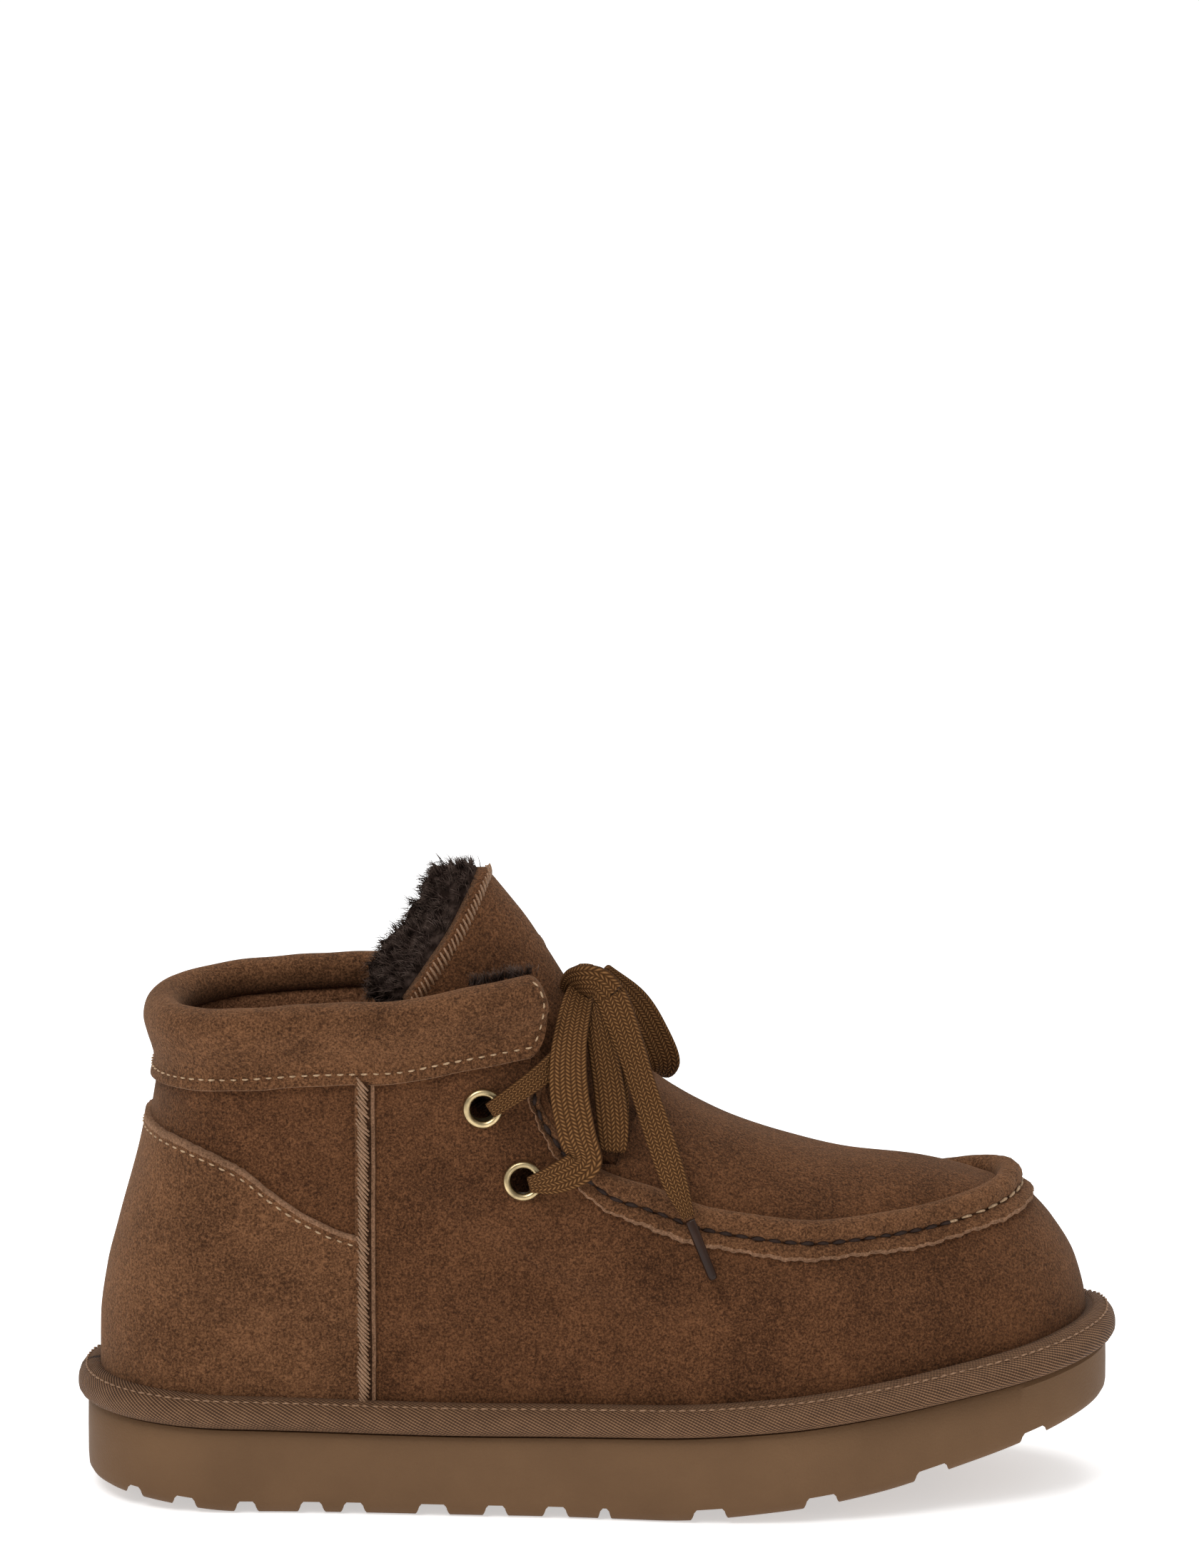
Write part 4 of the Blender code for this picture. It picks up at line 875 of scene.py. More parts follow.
def seam_frames(stations):
    centre = wall(stations[:, 0], stations[:, 1])
    out = wall_normal(stations[:, 0], stations[:, 1])
    tangent = unit(np.gradient(centre, axis=0))
    return centre, out, unit(np.cross(out, tangent))


def make_seam():
    stations = seam_stations()
    centre, out, up = seam_frames(stations)
    roll, run = stations[:, 2], stations[:, 3]
    pinch = np.abs(np.sin(math.pi * run / SEAM_PITCH)) ** 0.7
    wander = 0.00022 * np.sin(run * 900) + 0.00018 * np.sin(run * 2300 + 1) + 0.0003 * np.sin(run * 190)
    radius = SEAM_ROLL * (0.25 + 0.75 * roll)
    flange = -SEAM_FLANGE * (0.35 + 0.65 * roll) + wander
    groove = FLANGE_THICKNESS * (0.30 + 0.45 * pinch)
    thick = FLANGE_THICKNESS
    sections = [(-0.0010, flange), (thick * 0.75, flange - 0.0001), (thick * 1.05, flange * 0.88),
                (thick * 0.95, flange * 0.45), (thick * 0.85, -0.0010), (groove, -0.0002),
                (groove * 0.9, 0.0004)]
    for angle in range(-50, 211, 20):
        turn = math.radians(angle)
        fat = radius * (1 - 0.10 * (1 - pinch) * max(0.0, math.cos(turn + 0.5)))
        sections.append((fat * math.cos(turn) * 1.02 + 0.0002, radius * 0.95 + fat * math.sin(turn)))
    sections.append((-0.0022, 0.0005))
    rings = [centre + (out.T * o + up.T * u).T for o, u in sections]
    return tube("rolled_seam", np.stack(rings, axis=1))


moc_seam = make_seam()
print("rolled seam", len(moc_seam.data.polygons), "faces")

# %% [markdown]
# ## Heel counter and side seams
# The counter is a second layer of suede over the heel, with its raw edge left open. The side seam is a
# narrow strip with a rib of thread laid slantwise over a cord. Both are shells over the wall.

# %% Counter and side strips
COUNTER_ROWS = 40
COUNTER_EDGE = 0.00025  # how much thicker its cut edge is
UNDER_WALL = 0.0006  # how deep a panel is bedded


def heel_turns(places, z, end):
    return turn_of(places * body_along(end, z) / end)


def make_counter():
    end = SIDE_SEAM_AT
    places = end * (1 - np.cos(np.linspace(0, math.pi / 2, 70)))
    turns, heights = [], []
    for inner, order in ((False, places[::-1]), (True, places[1:])):
        for place in order:
            low = float(sole_top(place)) + BINDING_HEIGHT * 0.8
            ragged = 0.00012 * math.sin(place * 1900) + 0.0001 * math.sin(place * 4100 + 2)
            high = float(counter_at(place)) * COLLAR_TOP + ragged
            z = low + (high - low) * np.linspace(0, 1, COUNTER_ROWS + 1)
            turn = heel_turns(place, z, end)
            turns.append(2 - turn if inner else turn)
            heights.append(z)
    thickness = np.full(COUNTER_ROWS + 1, COUNTER_THICKNESS)
    thickness[-2:] += COUNTER_EDGE
    under, outer = wall(turns, heights, -UNDER_WALL), wall(turns, heights, thickness)
    return tube("heel_counter_suede", np.concatenate([under, outer[:, ::-1]], axis=1))


def strip_point(side_turn, z, across, out):
    place = SIDE_SEAM_AT + across / SOLE_LENGTH
    turn = turn_of(body_along(place, z))
    return wall(2 - turn if side_turn else turn, z, out)


STRIP_SECTION = (  # across, as a share of its half width, and out
    (-1.0, -0.0006), (-1.0, 0.0011), (-0.92, 0.0014), (-0.62, 0.0015), (-0.5, 0.0017), (-0.3, 0.0019),
    (0.0, 0.0020), (0.3, 0.0019), (0.5, 0.0017), (0.62, 0.0010), (0.92, 0.0012), (1.0, 0.0009),
    (1.0, -0.0006),
)


def make_side_strip(name, inner):
    half = SIDE_SEAM_WIDTH / 2
    low = float(sole_top(SIDE_SEAM_AT)) + BINDING_HEIGHT * 0.8
    high = COLLAR_TOP + float(crown_at(SIDE_SEAM_AT)) - COLLAR_HEIGHT * 0.97
    z = np.linspace(low, high, 130)
    rings = np.stack([strip_point(inner, z, a * half, o) for a, o in STRIP_SECTION], axis=1)
    return tube(name, rings)


counter = make_counter()
side_strips = {side: make_side_strip(f"side_strip_{side}", side == "inner") for side in ("outer", "inner")}
print("counter", len(counter.data.polygons), "faces")

# %% [markdown]
# ## Sole, binding and footbed
# The outsole is a smooth moulded block: its outline lofted from the tread up to its top edge, then
# grooved across. Rounded groove cutters leave the soft corners of a moulded lug.

# %% Outsole
GROOVES = (  # where each starts and ends along the sole
    (0.042, 0.056), (0.088, 0.109), (0.149, 0.168), (0.211, 0.233), (0.253, 0.273), (0.326, 0.354),
    (0.391, 0.411), (0.449, 0.470), (0.502, 0.512), (0.593, 0.624), (0.702, 0.732), (0.809, 0.840),
    (0.913, 0.937),
)
OUTLINE_COUNT = 280


def outline(inset, rise_of):
    """A ring of the sole's outline, moved in by inset, at a height found from the place along."""
    turn = np.linspace(0, 2, OUTLINE_COUNT, endpoint=False)
    along = (1 - np.cos(math.pi * turn)) / 2
    side = np.where(np.sin(math.pi * turn) >= 0, -1.0, 1.0)
    shrink = 1 - 2 * inset / SOLE_LENGTH
    x = x_at(0.5 + (along - 0.5) * shrink)
    y = middle(along) + side * (half_width_at(along) / 2 - inset) * rounding(along)
    return np.stack([x, y, rise_of(along)], axis=1)


def capped(name, rings):
    """Rings joined up the side, closed with strips across at the bottom and the top."""
    rings = np.asarray(rings)
    rows, count = rings.shape[:2]
    faces = grid_faces(rows, count, loop_columns=True)
    half = count // 2
    for base in (0, (rows - 1) * count):
        faces.append((base, base + 1, base + count - 1))
        for k in range(1, half - 1):
            faces.append((base + k, base + k + 1, base + count - k - 1, base + count - k))
        faces.append((base + half - 1, base + half, base + half + 1))
    return outward(new_object(name, rings, faces))


def level(share, lift=0.0):
    return lambda along: sole_tread(along) + (sole_top(along) - sole_tread(along)) * share + lift


SOLE_RINGS = (  # inset, share of the height from tread to top, lift
    (0.0034, 0.0, 0.0), (0.0022, 0.0, 0.0003), (0.0010, 0.0, 0.0012), (0.0002, 0.0, 0.0026), (0.0, 0.25, 0.0),
    (0.0, 0.6, 0.0), (0.0001, 0.93, 0.0), (0.0008, 1.0, -0.0002), (0.0016, 1.0, 0.0),
)


def make_outsole():
    rings = [outline(inset, level(share, lift)) for inset, share, lift in SOLE_RINGS]
    sole = capped("outsole_rubber", rings)
    carve(sole, outward(groove_cutter()))
    return sole


def groove_cutter():
    points, faces = [], []
    for start, end in GROOVES:
        width = (end - start) * SOLE_LENGTH
        flare = min(0.0009, width * 0.2)
        shape = [(-flare * 1.6, -0.02), (-flare * 1.2, -0.0002), (-flare * 0.5, 0.0008),
                 (0.0, LUG_DEPTH * 0.55), (0.0002, LUG_DEPTH - 0.0008), (0.0009, LUG_DEPTH)]
        shape += [(width - u, v) for u, v in shape[::-1]]
        base = len(points)
        for y in (-BALL_WIDTH, BALL_WIDTH):
            for u, v in shape:
                along = start + u / SOLE_LENGTH
                points.append((x_at(along), y, float(sole_tread(np.array(min(max(along, 0), 1)))) + v))
        count = len(shape)
        faces.append(tuple(base + k for k in range(count)))
        faces.append(tuple(base + count + k for k in reversed(range(count))))
        faces += [(base + k, base + count + k, base + count + (k + 1) % count, base + (k + 1) % count)
                  for k in range(count)]
    return new_object("groove_cutter", points, faces, smooth=False)


outsole = make_outsole()
outsole.data.set_sharp_from_angle(angle=math.radians(35))
print("outsole", len(outsole.data.polygons), "faces")

# %% [markdown]
# The binding is a woven tape rolled over the sole's edge, so its section bulges and then tucks in
# under the wall. The footbed is a soft board covered in fleece, a little smaller than the inside.

# %% Binding and footbed
SEAT = 0.0003  # how high the binding and the footbed lie over the sole


def make_binding():
    foot = EDGE_INSET + 0.0012
    bulge = BINDING_BULGE
    section = [
        (foot, 0.02), (0.0012, 0.00), (-bulge * 0.45, 0.07), (-bulge * 0.92, 0.22), (-bulge, 0.40),
        (-bulge * 0.86, 0.62), (-bulge * 0.30, 0.84), (0.0012, 0.955), (0.0026, 0.99), (0.0034, 0.97),
        (0.0040, 0.90), (foot, 0.88),
    ]
    section = spline([(i, u, 0.0) for i, u in section], 34)[:, :2]
    rings = np.stack([outline(i, lambda a, u=u: sole_top(a) + SEAT + BINDING_HEIGHT * u)
                      for i, u in section], axis=1)
    turn = np.linspace(0, 2 * math.pi, OUTLINE_COUNT, endpoint=False)
    rings[:, 6:20, 2] += (0.00012 * np.sin(turn * 61) + 0.0001 * np.sin(turn * 97 + 1))[:, None]
    return tube("binding_tape", rings, loop=True)


def make_footbed():
    inset = EDGE_INSET + WALL + 0.0010
    rings = [outline(inset + extra, lambda a, up=up: sole_top(a) + SEAT + INSOLE_THICKNESS * up)
             for extra, up in ((0.0, 0.0), (0.0, 0.7), (0.001, 0.9), (0.003, 1.0))]
    return capped("footbed_fleece", rings)


binding = make_binding()
footbed = make_footbed()
print("binding", len(binding.data.polygons), "faces")

# %% [markdown]
# ## Tongue and its fleece
# The tongue wraps back round the ankle like a half pipe, and its top edge slants down on both sides.
# Behind it lies the sheepskin, a lumpy pad that later carries the tufts.

# %% Tongue
THROAT_TOP = 0.088  # up to here the tongue lies wide and flat under the apron
TONGUE_FREES_OVER = 0.030
PAD_ROWS = 48


def tongue_point(across, z, inward):
    share = z / TONGUE_TOP
    free = np.clip((z - THROAT_TOP) / TONGUE_FREES_OVER, 0, 1)
    half = TONGUE_WIDTH / 2 * tongue_share_at(share) * (1.35 - 0.35 * free)
    x = x_at(tongue_front_at(share)) - TONGUE_WRAP * (0.3 + 0.7 * free) * across**2 - inward
    y = float(middle(TONGUE_ALONG)) + (half - 0.9 * inward) * across
    return np.stack([x, y, z], axis=-1)


def tongue_top(across):
    return TONGUE_TOP - TONGUE_SLANT * across**2


def tongue_shell(name, first, depth, foot, reach, columns, rows, lumps=0.0):
    """A shell between two depths behind the tongue's outer face."""
    across = np.linspace(-1, 1, columns + 1)
    across = np.sign(across) * np.abs(across) ** 0.85
    v = np.linspace(0, 1, rows + 1)
    low, high = TONGUE_TOP * foot, tongue_top(across) + reach
    z = low + (high - low)[:, None] * v
    grid = np.repeat(across[:, None], rows + 1, axis=1)
    front = tongue_point(grid, z, first)
    rear = tongue_point(grid, z, first + depth + lumps * fleece_lumps(grid, z))
    return tube(name, np.concatenate([front, rear[:, ::-1]], axis=1))


def fleece_lumps(across, z):
    up = z / TONGUE_TOP
    return 0.6 * np.sin(9.1 * across + 31 * up) + 0.4 * np.sin(17.3 * across - 53 * up + 1.0)


tongue = tongue_shell("tongue_suede", 0.0, TONGUE_THICKNESS, 0.47, 0.0, 60, 60)
fleece = tongue_shell("tongue_fleece_pad", TONGUE_THICKNESS + 0.0003, FLEECE_DEPTH, 0.63, 0.0005,
                      48, PAD_ROWS, lumps=0.0021)
print("tongue", len(tongue.data.polygons), "faces")

# %% [markdown]
# ## Eyelets
# A shoe eyelet is a brass tube rolled outwards into a rounded lip. Its profile is turned round the
# wall's own normal.

# %% Eyelets
EYELETS = {"upper": (0.3893, 0.798), "lower": (0.4282, 0.6575)}
BARREL = 0.0005  # wall of an eyelet's tube


def eyelet_seat(place, inner):
    z = place[1] * COLLAR_TOP
    turn = turn_of(body_along(place[0], z), inner)
    return wall(turn, z), wall_normal(turn, np.asarray(z))


def spokes_round(axis, count):
    """Even directions round an axis."""
    first = unit(np.cross(axis, [0.0, 0.0, 1.0]))
    second = np.cross(axis, first)
    angle = np.linspace(0, 2 * math.pi, count, endpoint=False)[:, None]
    return first * np.cos(angle) + second * np.sin(angle)


def make_eyelet(name, centre, axis):
    lip_radius = (EYELET_HOLE + EYELET_RADIUS) / 2
    half = (EYELET_RADIUS - EYELET_HOLE) / 2
    profile = [(EYELET_HOLE, -WALL - 0.0006), (EYELET_HOLE, 0.0005)]
    for angle in np.linspace(math.pi, 0, 13):
        profile.append((lip_radius + half * math.cos(angle), 0.0006 + 0.0012 * math.sin(angle)))
    outside = EYELET_HOLE + BARREL
    profile += [(EYELET_RADIUS, 0.0001), (outside, -0.0002), (outside, -WALL - 0.0006)]
    rings = [[centre + spoke * r + axis * h for r, h in profile] for spoke in spokes_round(axis, 64)]
    return tube(name, rings, loop=True)


eyelets = {}
for label, place in EYELETS.items():
    for side in ("outer", "inner"):
        centre, axis = eyelet_seat(place, side == "inner")
        eyelets[f"eyelet_{label}_{side}"] = make_eyelet(f"brass_{label}_{side}", centre, axis)
        spokes = spokes_round(axis, 32) * (EYELET_HOLE + 0.0006)
        carve(upper, tube("hole", [centre + spokes + axis * h for h in (-0.01, 0.01)]))
print("eyelets", len(eyelets))

# %% [markdown]
# ## Stitches
# Every seam is a row of the same small stitch along a line. A Geometry Nodes tree does this once for
# all of them: it spaces points along a curve, turns a stitch to lie along it, and makes it all mesh.
# The fleece's tree ends in the same way, so both start from one helper.

# %% The shape of one stitch
def stitch_shape(name, length, radius, rings=5, sides=6):
    """One stitch: a short thread, thicker in its middle, bedded at both ends."""
    angle = np.linspace(0, 2 * math.pi, sides, endpoint=False)
    rows = []
    for k in range(rings + 1):
        t = k / rings
        bow = math.sin(math.pi * t)
        size = radius * (0.55 + 0.45 * bow)
        rows.append(np.stack([(t - 0.5) * length + 0 * angle, np.cos(angle) * size,
                              np.sin(angle) * size + (bow - 0.6) * radius], axis=1))
    return tube(name, rows)

# %% [markdown]
# Both stitches and wool are one small shape set down many times, each a little turned and sized. The
# part of the tree that does this is made once, and each use adds the nodes that find its points.

# %% The tree for shapes on points
def start_tree(name, inputs, kinds, sizes):
    """A node tree that sets one shape on many points, sized at random, with its own nodes unwired."""
    tree = bpy.data.node_groups.new(name, "GeometryNodeTree")
    for way in ("INPUT", "OUTPUT"):
        tree.interface.new_socket("Geometry", in_out=way, socket_type="NodeSocketGeometry")
    inputs = {**inputs, "Seed": "NodeSocketInt", "Shape": "NodeSocketObject", "Finish": "NodeSocketMaterial"}
    sockets = {}
    for label, kind in inputs.items():
        sockets[label] = tree.interface.new_socket(label, in_out="INPUT", socket_type=kind).identifier
    kinds = {
        "given": "NodeGroupInput", "made": "NodeGroupOutput", "shape": "GeometryNodeObjectInfo",
        "place": "GeometryNodeInstanceOnPoints", "slant": "FunctionNodeEulerToRotation",
        "turn": "FunctionNodeRotateRotation", "size": "FunctionNodeRandomValue",
        "realize": "GeometryNodeRealizeInstances", "paint": "GeometryNodeSetMaterial", **kinds,
    }
    nodes = {label: tree.nodes.new(kind) for label, kind in kinds.items()}
    nodes["turn"].rotation_space = "LOCAL"
    nodes["size"].data_type = "FLOAT"
    nodes["size"].inputs[2].default_value, nodes["size"].inputs[3].default_value = sizes
    wire(tree, nodes, (
        ("given", "Shape", "shape", "Object"), ("shape", "Geometry", "place", "Instance"),
        ("slant", 0, "turn", 1), ("turn", 0, "place", "Rotation"),
        ("given", "Seed", "size", "Seed"), ("size", 1, "place", "Scale"),
        ("place", "Instances", "realize", 0), ("realize", 0, "paint", "Geometry"),
        ("given", "Finish", "paint", "Material"), ("paint", "Geometry", "made", "Geometry"),
    ))
    return tree, sockets, nodes


def wire(tree, nodes, wires):
    for start, output, end, socket in wires:
        tree.links.new(nodes[start].outputs[output], nodes[end].inputs[socket])

# %% [markdown]
# A seam's points are spaced along its line, and each stitch lies along the line with its back to the
# leather. The line carries the leather's outward direction as an attribute for that.

# %% The tree for stitches
def stitch_tree():
    tree, sockets, nodes = start_tree("stitch_row", {
        "Pitch": "NodeSocketFloat", "Slant": "NodeSocketFloat", "Scatter": "NodeSocketFloat",
    }, {
        "curve": "GeometryNodeMeshToCurve", "soft": "GeometryNodeCurveSplineType",
        "points": "GeometryNodeCurveToPoints", "lie": "FunctionNodeAxesToRotation",
        "out": "GeometryNodeInputNamedAttribute", "less": "ShaderNodeMath",
        "jitter": "FunctionNodeRandomValue", "angle": "ShaderNodeMath", "vector": "ShaderNodeCombineXYZ",
    }, (0.85, 1.12))
    nodes["soft"].spline_type = "CATMULL_ROM"
    nodes["points"].mode = "LENGTH"
    nodes["lie"].primary_axis, nodes["lie"].secondary_axis = "X", "Z"
    nodes["out"].data_type = "FLOAT_VECTOR"
    nodes["out"].inputs["Name"].default_value = "out"
    nodes["less"].operation, nodes["angle"].operation = "MULTIPLY", "ADD"
    nodes["less"].inputs[1].default_value = -1.0
    nodes["jitter"].data_type = "FLOAT"
    wire(tree, nodes, (
        ("given", "Geometry", "curve", "Mesh"), ("curve", "Curve", "soft", "Curve"),
        ("soft", "Curve", "points", "Curve"), ("given", "Pitch", "points", "Length"),
        ("points", "Points", "place", "Points"), ("points", "Tangent", "lie", "Primary Axis"),
        ("out", "Attribute", "lie", "Secondary Axis"), ("lie", 0, "turn", 0),
        ("given", "Scatter", "less", 0), ("less", 0, "jitter", 2), ("given", "Scatter", "jitter", 3),
        ("given", "Seed", "jitter", "Seed"), ("given", "Slant", "angle", 0), ("jitter", 1, "angle", 1),
        ("angle", 0, "vector", "Z"), ("vector", 0, "slant", 0),
    ))
    return tree, sockets


def run_tree(thing, made_tree, values):
    """Runs a node tree on an object with its inputs set, and keeps the result as a plain mesh."""
    tree, sockets = made_tree
    modifier = thing.modifiers.new("nodes", "NODES")
    modifier.node_group = tree
    for label, value in values.items():
        modifier[sockets[label]] = value
    apply_modifiers(thing)
    bpy.data.objects.remove(values["Shape"])
    print(thing.name, len(thing.data.polygons), "faces")


STITCH_TREE = stitch_tree()
STITCH_SEED = 1


def stitch_row(name, points, normals, pitch, length, radius, thread, slant=0.0, scatter=0.08):
    """Stitches along a line over a surface, turned into a plain mesh."""
    mesh = bpy.data.meshes.new(name)
    mesh.from_pydata(np.asarray(points).tolist(), [(k, k + 1) for k in range(len(points) - 1)], [])
    out = mesh.attributes.new("out", "FLOAT_VECTOR", "POINT")
    out.data.foreach_set("vector", np.asarray(normals, np.float32).ravel())
    row = bpy.data.objects.new(name, mesh)
    bpy.context.scene.collection.objects.link(row)
    run_tree(row, STITCH_TREE, {
        "Pitch": pitch, "Slant": slant, "Scatter": scatter, "Seed": STITCH_SEED,
        "Shape": stitch_shape(name + "_one", length, radius), "Finish": thread,
    })
    row.data.shade_smooth()
    return row, thread

# %% [markdown]
# ## Materials
# Each finish is built from noise at the scale of the real thing: suede has patches of nap lying
# different ways, a fine pile and a soft sheen; cloth has its weave on the piece's own UV map.

# %% Material helpers
class Finish:
    """A material being built: its nodes and the inputs of the shader where they end."""

    def __init__(self, name, rough, shine, metal=0.0):
        self.material = bpy.data.materials.new(name)
        self.material.use_nodes = True
        self.nodes, self.links = self.material.node_tree.nodes, self.material.node_tree.links
        self.inputs = self.nodes["Principled BSDF"].inputs
        self.set_all({"Roughness": rough, "Specular IOR Level": shine, "Metallic": metal})

    def set_all(self, values):
        for label, value in values.items():
            self.inputs[label].default_value = value

    def maths(self, operation, *values):
        node = self.nodes.new("ShaderNodeMath")
        node.operation = operation
        for socket, value in zip(node.inputs, values):
            if isinstance(value, (int, float)):
                socket.default_value = value
            else:
                self.links.new(value, socket)
        return node.outputs[0]

    def noise(self, scale, detail=2.0, rough=0.5):
        node = self.nodes.new("ShaderNodeTexNoise")
        node.inputs["Scale"].default_value = scale
        node.inputs["Detail"].default_value = detail
        node.inputs["Roughness"].default_value = rough
        place = self.nodes.new("ShaderNodeTexCoord").outputs["Object"]
        self.links.new(place, node.inputs["Vector"])
        return node.outputs["Fac"]

    def ripple(self, value, pitch):
        """A smooth wave from 0 to 1 with the given pitch."""
        angle = self.maths("MULTIPLY", value, 2 * math.pi / pitch)
        return self.maths("MULTIPLY_ADD", self.maths("SINE", angle), 0.5, 0.5)

    def pattern_axes(self):
        """U and V of the piece's own map."""
        uv = self.nodes.new("ShaderNodeUVMap")
        uv.uv_map = "pattern"
        split = self.nodes.new("ShaderNodeSeparateXYZ")
        self.links.new(uv.outputs["UV"], split.inputs[0])
        return split.outputs["X"], split.outputs["Y"]

    def colour(self, tone, *stops):
        """The surface's colour, read off a tone between stops."""
        node = self.nodes.new("ShaderNodeValToRGB")
        elements = node.color_ramp.elements
        elements[0].position, elements[0].color = stops[0][0], (*stops[0][1], 1)
        elements[1].position, elements[1].color = stops[-1][0], (*stops[-1][1], 1)
        for position, shade in stops[1:-1]:
            elements.new(position).color = (*shade, 1)
        self.links.new(tone, node.inputs["Fac"])
        self.links.new(node.outputs["Color"], self.inputs["Base Color"])

    def bump(self, height, strength, distance, below=None):
        node = self.nodes.new("ShaderNodeBump")
        node.inputs["Strength"].default_value = strength
        node.inputs["Distance"].default_value = distance
        self.links.new(height, node.inputs["Height"])
        if below is not None:
            self.links.new(below, node.inputs["Normal"])
        self.links.new(node.outputs["Normal"], self.inputs["Normal"])
        return node.outputs["Normal"]

# %% [markdown]
# Suede's nap lies in patches that catch the light differently, with a finer mottle and the pile itself
# on top. Three sizes of noise give the tones, and the two finer ones also roughen the surface.

# %% Suede
def suede(name, base, sheen=0.16, contrast=1.0):
    """Napped leather: wide soft patches, a mottle of a few millimetres and a fine pile."""
    finish = Finish(name, 0.95, 0.10)
    patches = finish.noise(42, 3.0, 0.55)
    mottle = finish.noise(520, 4.0, 0.7)
    pile = finish.noise(1600, 3.0, 0.75)
    tone = 0.5 - 1.475 * contrast
    for layer, weight in ((patches, 0.55), (mottle, 0.5), (pile, 1.9)):
        tone = finish.maths("MULTIPLY_ADD", layer, weight * contrast, tone)
    dark = tuple(c * f for c, f in zip(base, (0.34, 0.31, 0.28)))
    light = tuple(c * f for c, f in zip(base, (2.00, 2.10, 2.20)))
    finish.colour(tone, (0.20, dark), (0.5, base), (0.82, light))
    finish.set_all({"Sheen Weight": sheen, "Sheen Roughness": 0.45, "Sheen Tint": (0.95, 0.62, 0.40, 1)})
    finish.bump(pile, 0.9, 0.0005, finish.bump(mottle, 0.7, 0.0007))
    return finish.material

# %% [markdown]
# Moulded rubber is even, with a fine grain from the mould. The lace and the tape are woven, so their
# threads are ripples on the piece's own map and bend where the piece bends.

# %% Rubber and cloth
def rubber(name):
    finish = Finish(name, 0.68, 0.2)
    finish.colour(finish.noise(45, 3.0), (0.3, (0.122, 0.064, 0.029)), (0.7, (0.146, 0.078, 0.036)))
    finish.bump(finish.noise(1500), 0.5, 0.00025)
    return finish.material


def lace_cloth(name):
    """Flat woven lace: lengthwise ribs filled with slanted threads, which turn on every other rib."""
    finish = Finish(name, 0.9, 0.1)
    u, v = finish.pattern_axes()
    ribs = finish.maths("MULTIPLY", u, float(LACE_RIBS))
    slope = finish.maths("MULTIPLY", finish.maths("PINGPONG", ribs, 1.0), 0.0011)
    threads = finish.ripple(finish.maths("ADD", v, slope), 0.0011)
    groove = finish.maths("SINE", finish.maths("MULTIPLY", finish.maths("FRACT", ribs), math.pi))
    height = finish.maths("MULTIPLY", threads, groove)
    tone = finish.maths("MULTIPLY_ADD", finish.noise(2200), 0.25, finish.maths("MULTIPLY", height, 0.8))
    finish.colour(tone, (0.05, (0.026, 0.010, 0.003)), (0.45, (0.128, 0.056, 0.018)),
                  (0.95, (0.285, 0.140, 0.053)))
    finish.bump(height, 0.9, 0.0004)
    return finish.material


def twill(name):
    """Cotton tape: fine ribs that climb at an angle along the tape."""
    finish = Finish(name, 0.78, 0.3)
    u, v = finish.pattern_axes()
    ribs = finish.ripple(finish.maths("MULTIPLY_ADD", v, 0.55, u), 0.00085)
    cross = finish.ripple(finish.maths("MULTIPLY_ADD", u, -0.6, v), 0.0009)
    height = finish.maths("MULTIPLY_ADD", cross, 0.35, ribs)
    tone = finish.maths("MULTIPLY_ADD", finish.noise(260, 3.0), 0.3, finish.maths("MULTIPLY", height, 0.62))
    finish.colour(tone, (0.20, (0.042, 0.018, 0.007)), (0.55, (0.125, 0.058, 0.025)),
                  (0.90, (0.290, 0.155, 0.078)))
    finish.bump(height, 1.0, 0.0004)
    return finish.material

# %% [markdown]
# Wool is painted dark at the roots, as shade between the locks, and lighter at their tips, which each lock
# tells by an attribute. Brass, aglets and thread are small enough for one plain finish with a little
# unevenness.

# %% Wool, brass and thread
def wool(name):
    """Sheepskin: painted shade at the roots, lighter and warmer at the tips of the locks."""
    finish = Finish(name, 1.0, 0.0)
    tip = finish.nodes.new("ShaderNodeAttribute")
    tip.attribute_name = "tip"
    tone = finish.maths("MULTIPLY_ADD", finish.noise(330, 3.0, 0.6), 1.5, -0.55)
    # The tip share lightens each lock from its root, and roots and bare ground keep the dark colour as
    # painted shade.
    tone = finish.maths("MULTIPLY_ADD", tip.outputs["Fac"], 0.55, tone)
    finish.colour(tone, (0.10, (0.016, 0.010, 0.008)), (0.55, (0.062, 0.042, 0.034)),
                  (0.95, (0.160, 0.118, 0.098)))
    return finish.material


def plain(name, colour, rough, metal=0.0, shine=0.3, grain=2500, depth=0.0001):
    finish = Finish(name, rough, shine, metal)
    fine = finish.noise(grain, 3.0)
    dark, light = tuple(c * 0.6 for c in colour), tuple(min(1.0, c * 1.35) for c in colour)
    finish.colour(fine, (0.3, dark), (0.7, light))
    finish.bump(fine, 0.4, depth)
    return finish.material

# %% [markdown]
# The same suede is lighter where it was cut as a separate piece and lightest on its raw edges. Deep in the
# seam's groove and between the side ribs' threads it is painted almost black as shade. The colours were
# matched against the photo.

# %% The finishes
SUEDE = suede("suede_brown", (0.086, 0.0345, 0.0140))
SUEDE_LIGHT = suede("suede_raised", (0.108, 0.0465, 0.0200))
LINING = suede("suede_lining", (0.190, 0.084, 0.039), sheen=0.1)
